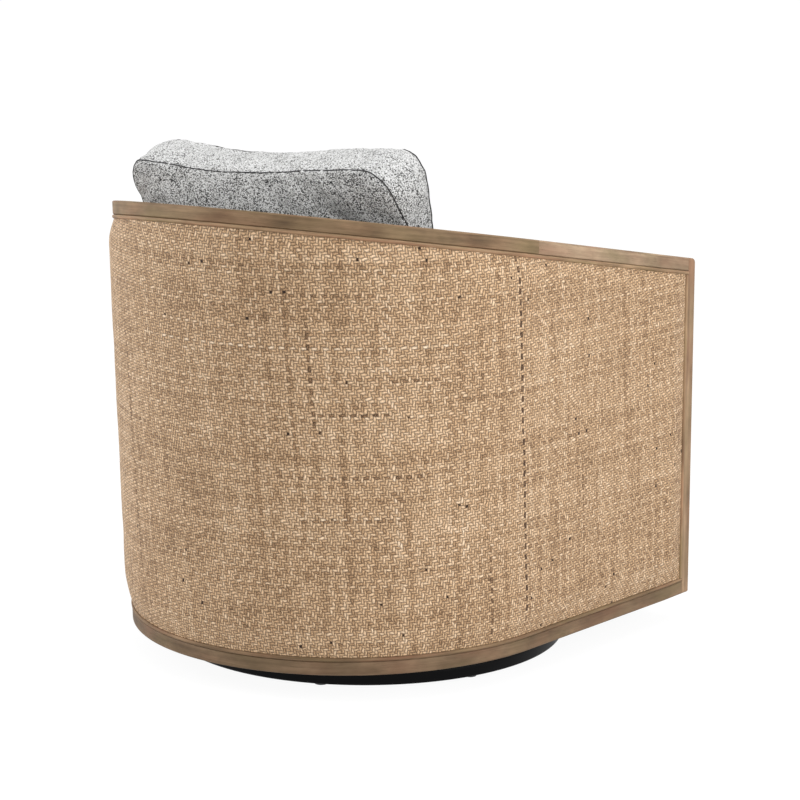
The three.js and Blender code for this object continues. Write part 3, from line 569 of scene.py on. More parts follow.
@dataclass(frozen=True)
class CaneTwill(Finish):
    """Flat strands woven over two and under two, in natural uneven tans."""

    name: str = "natural_cane_twill"
    pitch: float = 0.0042
    relief: float = 0.0009
    slant: float = 0.07
    level: float = 0.5
    level_of_tone: float = 0.54
    speck_share: float = 0.0012
    uprights: tuple[Streak, ...] = (
        Streak(-0.517, 0.08, 0.70, 0.5), Streak(-0.131, 0.36, 0.72, 0.36), Streak(-0.165, 0.43, 0.59, 0.26),
        Streak(-0.444, 0.07, 0.24, 0.45), Streak(-0.401, 0.40, 0.56, 0.3), Streak(-0.670, 0.09, 0.34, 0.28),
        Streak(-0.287, 0.22, 0.72, -0.14, 3.0), Streak(0.22, 0.15, 0.6, 0.3), Streak(0.47, 0.1, 0.5, 0.36),
    )
    crossings: tuple[Streak, ...] = (
        Streak(0.551, -0.56, 0.16, -0.34), Streak(0.502, -0.37, -0.28, 0.5), Streak(0.452, -0.29, -0.17, 0.5),
        Streak(0.353, -0.35, -0.09, 0.42), Streak(0.286, -0.30, -0.12, 0.42),
        Streak(0.291, -0.31, -0.12, -0.24), Streak(0.096, -0.26, -0.15, 0.42),
        Streak(0.632, -0.28, -0.13, 0.4), Streak(0.41, 0.15, 0.5, 0.34),
    )

    def marked(self, index: Signal, along: Signal, streaks: Sequence[Streak]) -> Signal:
        """How much darker the strands are for the streaks on them.

        Args:
            index: Number of the strand.
            along: Place along it, in metres.
            streaks: The streaks of strands that run this way.

        Returns:
            The darkening, less than 0 where the strand is paler.
        """
        total = index * 0.0
        for streak in streaks:
            reach = streak.strands / 2
            strand = ((index + 0.5) - streak.place / self.pitch).step("ABSOLUTE").step("LESS_THAN", reach)
            middle, half = (streak.start + streak.end) / 2, (streak.end - streak.start) / 2
            stretch = along.near(middle, half).between(0.0, 0.12)
            total = total + strand * stretch * streak.depth
        return total

    def make(self, shader: Shader) -> bpy.types.Material:
        """Build the weave from which strand lies on top at each crossing."""
        run, rise = shader.surface_metres()
        run = run - (rise - self.level) * self.slant
        place = shader.vector(run, rise)
        sway = (shader.noise(place, 9.0, 1.0) - 0.5) * 0.9
        crowd = (shader.noise(place, 110.0, 1.0) - 0.5) * 1.2
        u, v = run / self.pitch + sway + crowd, rise / self.pitch + sway * 0.6 - crowd
        iu, iv = u.floor(), v.floor()
        fu, fv = u - iu, v - iv
        step = (iu - iv).step("FLOORED_MODULO", 4.0)
        group = ((iu - iv) / 4.0).floor()
        upright = step.step("LESS_THAN", 1.5)
        along = shader.choose(upright, ((1.0 - step) + fv) / 2.0, ((step - 2.0) + fu) / 2.0)
        across = (shader.choose(upright, fu, fv) * 2.0 - 1.0).step("ABSOLUTE")
        arch = (along * math.pi).step("SINE").step("MAXIMUM", 0.0) ** 0.7
        height = (1.0 - across**1.8) * (arch * 0.75 + 0.25)
        strand = shader.dice(shader.choose(upright, iu, iv), upright)
        floated = shader.dice(
            shader.choose(upright, iu, group), shader.choose(upright, group, iv), 7.0,
        )
        across_fibres, along_fibres = 3000.0, 160.0
        fibre = shader.noise(
            shader.vector(
                shader.choose(upright, run * across_fibres, run * along_fibres),
                shader.choose(upright, rise * along_fibres, rise * across_fibres),
            ), 1.0, 2.0,
        )
        broad = shader.noise(place, 7.0, 3.0, 0.6)
        bands = shader.noise(shader.vector(run * 75.0, rise * 5.0, 3.0), 1.0, 3.0, 0.6)
        rows = shader.noise(shader.vector(run * 5.0, rise * 75.0, 8.0), 1.0, 3.0, 0.6)
        grain = shader.noise(place, 620.0, 1.0)
        tone = self.level_of_tone
        for part, share in (
            (strand, 0.28), (floated, 0.2), (fibre, 0.35), (broad, 0.2),
            (bands, 0.42), (rows, 0.3), (grain, 0.9),
        ):
            tone = (part - 0.5) * share + tone
        worn = shader.choose(
            upright, self.marked(iu, rise, self.uprights), self.marked(iv, run, self.crossings),
        )
        worn = worn * (floated * 0.7 + 0.5)
        speck = shader.dice(iu, iv, 5.0).step("GREATER_THAN", 1.0 - self.speck_share) * (1.0 - across * 0.8)
        colour = shader.ramp(tone - worn - speck, [
            (0.0, (74, 51, 36)), (0.3, (166, 131, 97)), (0.5, (203, 167, 129)),
            (0.72, (226, 193, 157)), (0.95, (240, 214, 184)),
        ])
        # Painted shade: strands are darkened where they dip at their edges and float ends, where shade falls
        # in the crevices of the weave.
        depth = height.step("MAXIMUM", 0.001) ** 0.9
        colour = shader.dim(colour, (depth * (0.88 + floated * 0.16) + 0.2) * (1.0 - speck * 0.6))
        relief = shader.bump(height + (fibre - 0.5) * 0.1, self.relief)
        return shader.dress(
            base_color=colour, roughness=0.58 + (fibre - 0.5) * 0.25, specular=0.22, normal=relief,
        )


@dataclass(frozen=True)
class WeatheredOak(Finish):
    """Grey-brown oak, its grain along the first surface direction, blotched by weather."""

    name: str = "weathered_oak"
    tone: Colour = (143, 122, 99)
    seed: float = 0.0

    def make(self, shader: Shader) -> bpy.types.Material:
        """Build bands, fibres, pores and cloudy patches along the grain."""
        run, side = shader.surface_metres()
        warp = (shader.noise(shader.vector(run, side, self.seed), 6.0, 2.0) - 0.5) * 0.012
        wavy = side + warp

        def drawn(along: float, across: Signal, away: float, detail: float, rough: float = 0.5) -> Signal:
            """Noise drawn out along the grain."""
            return shader.noise(shader.vector(run * along, across, self.seed + away), 1.0, detail, rough)

        bands = drawn(2.2, wavy * 130.0, 0.0, 3.0, 0.6)
        fibre = drawn(26.0, wavy * 1500.0, 4.0, 3.0, 0.6)
        cloud = drawn(13.0, side * 26.0, 9.0, 3.0, 0.55)
        hue = drawn(9.0, side * 20.0, 21.0, 1.0)
        pores = drawn(60.0, wavy * 2600.0, 2.0, 1.0).between(0.66, 0.72)
        level = 0.5 + (bands - 0.5) * 0.8 + (fibre - 0.5) * 0.55 + (cloud - 0.5) * 1.15
        red, green, blue = self.tone
        colour = shader.ramp(level, [
            (0.1, (red * 0.66, green * 0.64, blue * 0.62)), (0.36, (red * 0.87, green * 0.86, blue * 0.84)),
            (0.55, (red, green, blue)), (0.85, (red * 1.2, green * 1.21, blue * 1.23)),
        ])
        pink = shader.mix(hue.between(0.5, 0.72) * 0.4, colour, linear(red * 1.08, green * 0.93, blue * 0.94))
        moss = linear(red * 0.94, green * 1.01, blue * 0.92)
        colour = shader.dim(shader.mix(hue.between(0.48, 0.3) * 0.4, pink, moss), 1.0 - pores * 0.35)
        relief = shader.bump(fibre * 0.7 + bands * 0.3 - pores * 0.6, 0.00025)
        return shader.dress(
            base_color=colour, roughness=0.6 + (fibre - 0.5) * 0.3, specular=0.22, normal=relief,
        )


@dataclass(frozen=True)
class Boucle(Finish):
    """Thick speckled cloth of small light and dark loops."""

    name: str = "speckled_boucle"
    light: float = 252.0
    dark: float = 36.0
    loop: float = 0.00145

    def make(self, shader: Shader) -> bpy.types.Material:
        """Build loops of random greys, with a soft sheen; painted light makes faces that look up paler, and
        painted shade darkens each loop towards its edges.
        """
        place = shader.vector(*shader.solid_metres())
        cells = shader.node("TexVoronoi", {"Vector": place, "Scale": 1.0 / self.loop, "Randomness": 1.0})
        pick = Signal(shader, shader.node("SeparateXYZ", {0: cells.outputs["Color"]}).outputs[0])
        away = Signal(shader, cells.outputs["Distance"])
        drift = shader.noise(place, 26.0, 2.0)
        fuzz = shader.noise(place, 1500.0, 2.0)
        mean = (self.light + self.dark) / 2
        # Painted light: faces that look up are made paler, as if lit from above.
        painted_top_light = shader.upward().between(0.1, 0.85)
        level = pick + (drift - 0.5) * 0.35 + (fuzz - 0.5) * 0.4 + painted_top_light * 0.15
        colour = shader.ramp(level, [
            (0.0, (self.dark * 0.6,) * 3), (0.22, (self.dark * 1.2,) * 3),
            (0.34, (mean * 1.02, mean * 1.015, mean)),
            (0.5, (self.light * 0.94, self.light * 0.94, self.light * 0.93)), (1.0, (self.light * 1.01,) * 3),
        ])
        # Painted shade: each loop is darkened towards its edges, where shade falls between the loops.
        colour = shader.dim(colour, 1.08 - away.between(0.15, 0.8) * 0.4)
        relief = shader.bump((1.0 - away) + fuzz * 0.4, 0.0016)
        return shader.dress(
            base_color=colour, roughness=0.95, specular=0.12, normal=relief,
            sheen_weight=0.25, sheen_roughness=0.6, sheen_tint=linear(235, 235, 235),
        )


@dataclass(frozen=True)
class PlainCloth(Finish):
    """Thin woven cloth of one colour, with a fine square weave."""

    name: str = "padded_deck_cloth"
    colour: Colour = (148, 148, 147)
    thread: float = 0.0009

    def make(self, shader: Shader) -> bpy.types.Material:
        """Build crossing threads with a little unevenness."""
        x, y, z = shader.solid_metres()
        warp = (x * (math.pi / self.thread)).step("SINE").step("ABSOLUTE")
        weft = ((y + z) * (math.pi / self.thread)).step("SINE").step("ABSOLUTE")
        weave = warp.step("MAXIMUM", weft)
        uneven = shader.noise(shader.vector(x, y, z), 60.0, 4.0)
        deep = tuple(c * 0.72 for c in self.colour)
        bright = tuple(min(c * 1.14, 255) for c in self.colour)
        colour = shader.ramp(weave * 0.5 + uneven * 0.5, [(0.2, deep), (0.55, self.colour), (0.85, bright)])
        return shader.dress(
            base_color=colour, roughness=0.9, specular=0.15, sheen_weight=0.1,
            normal=shader.bump(weave + uneven * 0.5, 0.0002),
        )


@dataclass(frozen=True)
class CoatedMetal(Finish):
    """Metal under enamel, or bare, with a fine skin and light wear."""

    name: str = "satin_black_enamel"
    colour: Colour = (7, 7, 8)
    metal: float = 0.0
    gloss: float = 0.36
    coat: float = 0.0
    brushed: float = 0.0
    shine: float = 0.08

    def make(self, shader: Shader) -> bpy.types.Material:
        """Build an orange-peel skin, smudges and a slight change of tone."""
        x, y, z = shader.solid_metres()
        place = shader.vector(x, y, z)
        smudge = shader.noise(place, 22.0, 4.0, 0.6)
        peel = shader.noise(place, 700.0, 1.0)
        brushing = shader.noise(shader.vector(x * 40.0, y * 40.0, z * 2400.0), 1.0, 2.0)
        skin_relief = peel * (1.0 - self.brushed) + brushing * self.brushed
        dull = tuple(c * 0.8 for c in self.colour)
        bright = tuple(min(c * 1.25 + 2, 255) for c in self.colour)
        colour = shader.ramp(smudge * 0.8 + brushing * 0.2, [(0.3, dull), (0.5, self.colour), (0.72, bright)])
        return shader.dress(
            base_color=colour, metallic=self.metal, specular=self.shine,
            roughness=(smudge - 0.5) * 0.22 + (brushing - 0.5) * 0.1 + self.gloss,
            coat_weight=self.coat, coat_roughness=0.25, normal=shader.bump(skin_relief, 0.00008),
        )


@dataclass(frozen=True)
class Plywood(Finish):
    """Birch plywood: pale open grain on the faces and thin plies on the edges."""

    name: str = "birch_plywood"
    ply: float = 0.0014

    def make(self, shader: Shader) -> bpy.types.Material:
        """Build plies by height and a wavy grain across the chair."""
        x, y, z = shader.solid_metres()
        grain = shader.noise(shader.vector(x * 5.0, y * 90.0, z * 30.0), 1.0, 4.0, 0.6)
        plies = (z * (math.pi / self.ply)).step("SINE")
        edge = 1.0 - shader.upward().step("ABSOLUTE").between(0.3, 0.8)
        level = grain * 0.8 + plies * edge * 0.16 + 0.1
        colour = shader.ramp(level, [(0.25, (160, 126, 86)), (0.5, (200, 168, 124)), (0.8, (222, 196, 156))])
        relief = shader.bump(grain + plies * edge * 0.2, 0.00025)
        return shader.dress(base_color=colour, roughness=0.68, specular=0.3, normal=relief)


@dataclass(frozen=True)
class Moulded(Finish):
    """Moulded rubber or nylon with a dull, faintly pebbled skin."""

    name: str = "moulded_rubber"
    colour: Colour = (26, 26, 27)
    dullness: float = 0.8

    def make(self, shader: Shader) -> bpy.types.Material:
        """Build the pebbled skin and dust in its hollows."""
        place = shader.vector(*shader.solid_metres())
        pebble = shader.noise(place, 1100.0, 2.0)
        dust = shader.noise(place, 30.0, 4.0)
        worn = tuple(c * 1.6 + 6 for c in self.colour)
        colour = shader.ramp(dust, [(0.4, self.colour), (0.8, worn)])
        return shader.dress(
            base_color=colour, roughness=(dust - 0.5) * 0.2 + self.dullness, specular=0.3,
            normal=shader.bump(pebble, 0.0002),
        )


CANE = CaneTwill()
BACK_OAK = WeatheredOak("weathered_oak_back", (135, 111, 84), 0.0)
ARM_OAK = WeatheredOak("weathered_oak_arms", (154, 131, 106), 13.0)
POST_OAK = WeatheredOak("weathered_oak_posts", (146, 120, 94), 31.0)
LOW_OAK = WeatheredOak("weathered_oak_low", (121, 99, 76), 47.0)
BEAD_OAK = WeatheredOak("pale_oak_bead", (158, 130, 100), 63.0)
LOW_BEAD_OAK = WeatheredOak("low_oak_bead", (132, 107, 81), 71.0)
BOUCLE = Boucle()
DECK_CLOTH = PlainCloth()
DUST_CLOTH = PlainCloth("black_dust_cloth", (30, 30, 31), 0.0006)
# A real seam thread whose dark grey is partly painted shade in the seam's groove.
SEAM_THREAD_AND_SHADE = PlainCloth("dark_seam_thread", (54, 53, 54), 0.0005)
ENAMEL = CoatedMetal()
ZINC = CoatedMetal("zinc_plated_steel", (168, 170, 172), 1.0, 0.34, 0.0, 0.6, 0.5)
SPRING_STEEL = CoatedMetal("oiled_spring_steel", (82, 84, 88), 1.0, 0.36, 0.1, 0.3, 0.5)
BIRCH = Plywood()
RUBBER = Moulded()
NYLON = Moulded("black_nylon", (30, 30, 32), 0.48)


# The wall's plan


@dataclass(frozen=True)
class BarrelPlan:
    """Plan of the round back and splayed arms, the sloping top plane and the lean of the wall."""

    back_radius: float = 0.375
    arm_length: float = 0.447
    splay: float = math.radians(6)
    back_height: float = 0.755
    front_height: float = 0.612
    floor_gap: float = 0.043
    lean: float = 0.019
    lean_depth: float = 0.190
    fit: float = 0.0003
    rail_height: float = 0.022
    rail_width: float = 0.030
    post_depth: float = 0.021
    bead_height: float = 0.006
    end_rise: float = 0.048
    padding: float = 0.020

    @property
    def turn(self) -> float:
        """Angle from the middle of the back to the start of an arm."""
        return math.pi / 2 - self.splay

    @property
    def round_run(self) -> float:
        """Run from the middle of the back to the start of an arm."""
        return self.back_radius * self.turn

    @property
    def depth(self) -> float:
        """Front to back."""
        return self.back_radius * (1 - math.sin(self.splay)) + self.arm_length * math.cos(self.splay)

    @property
    def front_y(self) -> float:
        """Front of the posts."""
        return -self.depth / 2

    @property
    def arc_y(self) -> float:
        """Centre of the round back."""
        return self.depth / 2 - self.back_radius

    @property
    def arm_end_y(self) -> float:
        """Where the arms' rails meet the posts."""
        return self.front_y + self.post_depth + self.fit

    @property
    def panel_end_y(self) -> float:
        """Where the woven panel ends, behind the end beads."""
        return self.arm_end_y + self.bead_height + self.fit

    @property
    def panel_drop(self) -> float:
        """From the top plane down to the woven panel."""
        return self.rail_height + 2 * self.fit + self.bead_height

    @property
    def panel_foot(self) -> float:
        """Floor to the woven panel."""
        return self.floor_gap + self.panel_drop

    @property
    def room_face(self) -> float:
        """Inset of the face that the padding lies on."""
        return self.rail_width + self.fit

    @property
    def arm_start_y(self) -> float:
        """Where the outer face of an arm begins."""
        return self.arc_y + self.back_radius * math.cos(self.turn)

    def run_at(self, plane_y: Array | float) -> Array | float:
        """Run at which the outer face of an arm crosses a plane across the chair."""
        return self.round_run + (self.arm_start_y - plane_y) / math.cos(self.splay)

    def plan(self, run: Array, inset: Array) -> tuple[Array, Array]:
        """Plan place at a run along the outer face from the middle of the back, some way inside it."""
        run, inset = np.broadcast_arrays(np.asarray(run, float), np.asarray(inset, float))
        bend = np.clip(run / self.back_radius, -self.turn, self.turn)
        radius = self.back_radius - inset
        x = radius * np.sin(bend)
        y = self.arc_y + radius * np.cos(bend)
        beyond = np.abs(run) - self.round_run
        plane = self.arm_start_y - beyond * math.cos(self.splay)
        arm_x = x + np.sign(run) * (y - plane) * math.tan(self.splay)
        on_arm = beyond > 1e-9
        return np.where(on_arm, arm_x, x), np.where(on_arm, plane, y)

    def top_at(self, y: Array) -> Array:
        """Height of the sloping top plane."""
        share = (np.asarray(y) - self.front_y) / self.depth
        return self.front_height + (self.back_height - self.front_height) * share

    def spot(self, run: Array, inset: Array, rise: Array | None = None, drop: Array | None = None) -> Array:
        """Points of the wall at a rise from the floor, or else at a drop from the top plane."""
        outer_y = self.plan(run, 0.0)[1]
        top = self.top_at(outer_y)
        height = rise if drop is None else top - drop
        plumb_y = self.panel_end_y + self.end_rise
        share = np.clip((outer_y - plumb_y) / (self.depth / 2 - self.lean_depth - plumb_y), 0, 1)
        leaning = self.lean * share * (top - height) / (top - self.floor_gap)
        x, y = self.plan(run, inset + leaning)
        level = rise if drop is None else self.top_at(y) - drop
        x, y, level = np.broadcast_arrays(x, y, np.asarray(level, float))
        return np.stack([x, y, level], -1)

    def band(self, name: str, section: Array, start: float, end: float, low: bool) -> Piece:
        """Length of wood along the wall.

        Args:
            name: Name of the piece.
            section: Its inset, and its rise over the wall's foot or its drop from the top plane.
            start: Run at which it starts.
            end: Run at which it ends.
            low: Whether it follows the wall's foot.

        Returns:
            The piece.
        """
        runs = self.runs(start, end)
        inset, level = section[None, :, 0], section[None, :, 1]
        if low:
            rings = self.spot(runs[:, None], inset, rise=self.floor_gap + level)
        else:
            rings = self.spot(runs[:, None], inset, drop=level)
        return skin(name, rings, lengthwise(section, runs))

    def half_width(self, section: Array, inset: float) -> Array:
        """Half the room across the chair at the depth of each point of a section."""
        return self.plan(self.run_at(section[:, 0]), inset)[0]

    def runs(self, start: float, end: float, spacing: float = 0.011) -> Array:
        """Runs from one to another, with the ends of the round back among them."""
        marks = [start, *(m for m in (-self.round_run, self.round_run) if start < m < end), end]
        legs = [
            np.linspace(a, b, max(2, round((b - a) / spacing)) + 1)[1:] for a, b in zip(marks[:-1], marks[1:])
        ]
        return np.concatenate([[start], *legs])

    def outline(self, inset: float, rise: float, front_y: float) -> Array:
        """Plan outline of the room inside the wall at one height, with a straight front."""
        end = self.run_at(front_y)
        runs = self.runs(-end, end, 0.014)
        return self.spot(runs, inset, rise=np.full(len(runs), rise))[:, :2]


PLAN = BarrelPlan()


# Sub-assemblies


class SubAssembly:
    """Pieces that are built and dressed together."""

    def build(self) -> list[Piece]:
        """Build every piece."""
        raise NotImplementedError

    def settle(self, piece: Piece, body: Body, slot: str, finish: Finish, *nodes: str) -> Piece:
        """Dress a piece and let it ride on its body.

        Args:
            piece: The piece, in its place.
            body: What it moves with.
            slot: The record's material slot; not used.
            finish: Its finish.
            *nodes: The solids that it stands for.

        Returns:
            The piece.
        """
        piece.data.materials.clear()
        piece.data.materials.append(finish.material())
        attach(piece, body.value)
        if nodes:
            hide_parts(*nodes)
            piece.name = f"{nodes[0]}_detail"
        return piece

    def dress(self, finish: Finish, *nodes: str) -> list[Piece]:
        """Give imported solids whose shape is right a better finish."""
        solids = [frame["nodes"][name] for name in nodes]
        for solid in solids:
            for place in solid.material_slots:
                place.material = finish.material()
        return solids


@dataclass
class WoodenFrame(SubAssembly):
    """Rails above and below in three lengths each, the front rail and the two front posts."""

    ease: float = 0.0026
    post_round: float = 0.007
    front_rail: float = 0.018
    plan: BarrelPlan = PLAN

    def rail(self, name: str, start: float, end: float, finish: Finish, low: bool) -> Piece:
        """One length of rail between two runs, its edges eased."""
        section = rounded_box((0.0, 0.0), (self.plan.rail_width, self.plan.rail_height), [self.ease] * 4)
        piece = self.plan.band(name, section, start, end, low)
        return self.settle(piece, Body.SEAT, "weathered_oak", finish, name)

    def post(self, hand: Hand) -> Piece:
        """Post at the front of an arm, rounded at the top where it faces the front."""
        plan = self.plan
        rings, coords = [], []
        angles = np.radians(np.linspace(0, 90, 6))
        drawn = [(self.ease * (1 - math.sin(a)), self.ease * (1 - math.cos(a))) for a in angles]
        stack = [(shrink, inset) for shrink, inset in drawn]
        stack += [(shrink, plan.rail_width - inset) for shrink, inset in reversed(drawn)]
        for shrink, inset in stack:
            low = (plan.front_y + shrink, plan.floor_gap + shrink)
            high = (plan.front_y + plan.post_depth - shrink * 0.2, plan.front_height - shrink)
            edge = rounded_box(low, high, [0.0022, 0.0008, 0.0008, self.post_round - shrink], 7)
            y, z = edge[:, 0], edge[:, 1]
            slope = (plan.top_at(y) - plan.floor_gap) / (plan.front_height - plan.floor_gap)
            level = plan.floor_gap + (z - plan.floor_gap) * slope
            x, _ = plan.plan(hand.value * plan.run_at(y), inset)
            rings.append(np.column_stack([x, y, level]))
            across = y - plan.front_y + inset
            coords.append(np.column_stack([level, across])[list(range(len(y))) + [0]])
        name = f"front_post_{hand.word}"
        piece = skin(name, np.array(rings), np.array(coords), crease=50)
        return self.settle(piece, Body.SEAT, "weathered_oak", POST_OAK, name)

    def rail_across_front(self) -> Piece:
        """Bottom rail between the posts."""
        plan = self.plan
        low = (plan.front_y, plan.floor_gap)
        high = (plan.front_y + self.front_rail, plan.floor_gap + plan.rail_height)
        section = rounded_box(low, high, [0.002] * 4)
        shares = np.linspace(-1, 1, 40)
        half = plan.half_width(section, plan.room_face)
        rings = np.array([np.column_stack([share * half, section]) for share in shares])
        piece = skin("bottom_rail_front", rings, lengthwise(section, shares * half.mean()))
        return self.settle(piece, Body.SEAT, "weathered_oak", LOW_OAK, "bottom_rail_front")

    def build(self) -> list[Piece]:
        """Build the rails and posts."""
        plan = self.plan
        round_end = plan.round_run - plan.fit
        arm_end = plan.run_at(plan.arm_end_y)
        pieces = []
        for level, low, back_finish, arm_finish in (
            ("top", False, BACK_OAK, ARM_OAK), ("bottom", True, LOW_OAK, LOW_OAK),
        ):
            pieces.append(self.rail(f"{level}_rail_back", -round_end, round_end, back_finish, low))
            pieces.append(self.rail(f"{level}_rail_right", -arm_end, -plan.round_run, arm_finish, low))
            pieces.append(self.rail(f"{level}_rail_left", plan.round_run, arm_end, arm_finish, low))
        return [*pieces, self.post(Hand.RIGHT), self.post(Hand.LEFT), self.rail_across_front()]


@dataclass
class BeadTrim(SubAssembly):
    """Half-round beads round the woven panel."""

    width: float = 0.008
    proud: float = 0.0012
    round: float = 0.0026
    plan: BarrelPlan = PLAN

    def long_bead(self, name: str, low: bool) -> Piece:
        """Bead along the whole wall, over the bottom rail or under the top rail."""
        plan = self.plan
        start = plan.rail_height + plan.fit
        section = rounded_box(
            (-self.proud, start), (self.width - self.proud, start + plan.bead_height),
            [self.round, 0.0006, 0.0006, self.round],
        )
        end = plan.run_at(plan.arm_end_y)
        finish = LOW_BEAD_OAK if low else BEAD_OAK
        return self.settle(plan.band(name, section, -end, end, low), Body.SEAT, "pale_bead", finish, name)

    def end_bead(self, hand: Hand) -> Piece:
        """Upright bead beside a post."""
        plan = self.plan
        section = rounded_box(
            (-self.proud, plan.arm_end_y), (self.width - self.proud, plan.arm_end_y + plan.bead_height),
            [self.round, 0.0006, 0.0006, self.round],
        )
        runs = hand.value * plan.run_at(section[:, 1])
        top = plan.spot(runs, section[:, 0], drop=plan.panel_drop)
        shares = np.linspace(0, 1, 30)[:, None]
        levels = plan.panel_foot + shares * (top[None, :, 2] - plan.panel_foot)
        rings = plan.spot(runs[None, :], section[None, :, 0], rise=levels)
        name = f"bead_end_{hand.word}"
        piece = skin(name, rings, lengthwise(section, levels[:, 0]))
        return self.settle(piece, Body.SEAT, "pale_bead", BEAD_OAK, name)

    def build(self) -> list[Piece]:
        """Build the four beads."""
        return [
            self.long_bead("bead_top", False), self.long_bead("bead_bottom", True),
            self.end_bead(Hand.RIGHT), self.end_bead(Hand.LEFT),
        ]


@dataclass
class WovenBack(SubAssembly):
    """Cane panel, crowned over its padding and drawn in to the beads, on its plywood liner."""

    bulge: float = 0.009
    tuck: float = 0.0015
    back: float = 0.0085
    top_rise: float = 0.042
    foot_rise: float = 0.052
    lip: float = 0.007
    rows: int = 72
    crowding: float = 0.55
    waves: tuple[Row, ...] = ((0.16, 0.0007), (0.07, 0.0003))
    plan: BarrelPlan = PLAN

    def panel(self) -> Piece:
        """The woven panel, with surface coordinates in metres along the strands."""
        plan = self.plan
        end = plan.run_at(plan.panel_end_y)
        runs = plan.runs(-end, end, 0.006)
        even = np.linspace(0, 1, self.rows)
        shares = self.crowding * (1 - np.cos(even * math.pi)) / 2 + (1 - self.crowding) * even
        top = plan.spot(runs, self.tuck, drop=plan.panel_drop)[:, 2]
        levels = top[:, None] - (top[:, None] - plan.panel_foot) * shares[None, :]
        outer_y = plan.plan(runs, 0.0)[1]
        on_arm = np.abs(runs) > plan.round_run
        from_end = np.where(on_arm, np.clip((outer_y - plan.panel_end_y) / plan.end_rise, 0, 1), 1.0)[:, None]
        edge = np.minimum(
            (top[:, None] - levels) / self.top_rise, (levels - plan.panel_foot) / self.foot_rise,
        )
        swell = np.sin(np.clip(edge, 0, 1) * math.pi / 2) * np.sin(from_end * math.pi / 2)
        grid = np.stack(np.broadcast_arrays(runs[:, None], levels), -1).reshape(-1, 2)
        uneven = ripples(grid, self.waves, 11).reshape(levels.shape)
        inset = self.tuck - (self.bulge + self.tuck) * swell + np.abs(uneven) * swell
        face = plan.spot(runs[:, None], inset, rise=levels)
        foot = plan.spot(runs, self.back, rise=plan.panel_foot)[:, None]
        head = plan.spot(runs, self.back, rise=top)[:, None]
        rings = np.concatenate([face, foot, head], 1)
        foot_lip, top_lip = levels[:, -1:] - self.lip, levels[:, :1] + self.lip
        heights = np.concatenate([levels, foot_lip, top_lip, levels[:, :1]], 1)
        stretch = (plan.back_radius + self.bulge) / plan.back_radius
        along = np.clip(runs, -plan.round_run, plan.round_run)
        along = along * stretch + (runs - along)
        coords = np.stack(np.broadcast_arrays(along[:, None], heights), -1)
        piece = skin("woven_panel", rings, coords)
        return self.settle(piece, Body.SEAT, "woven_cane", CANE, "woven_panel")

    def build(self) -> list[Piece]:
        """Build the panel and dress what stands behind it."""
        return [self.panel(), *self.dress(BIRCH, "back_liner", "back_stud_left", "back_stud_right")]


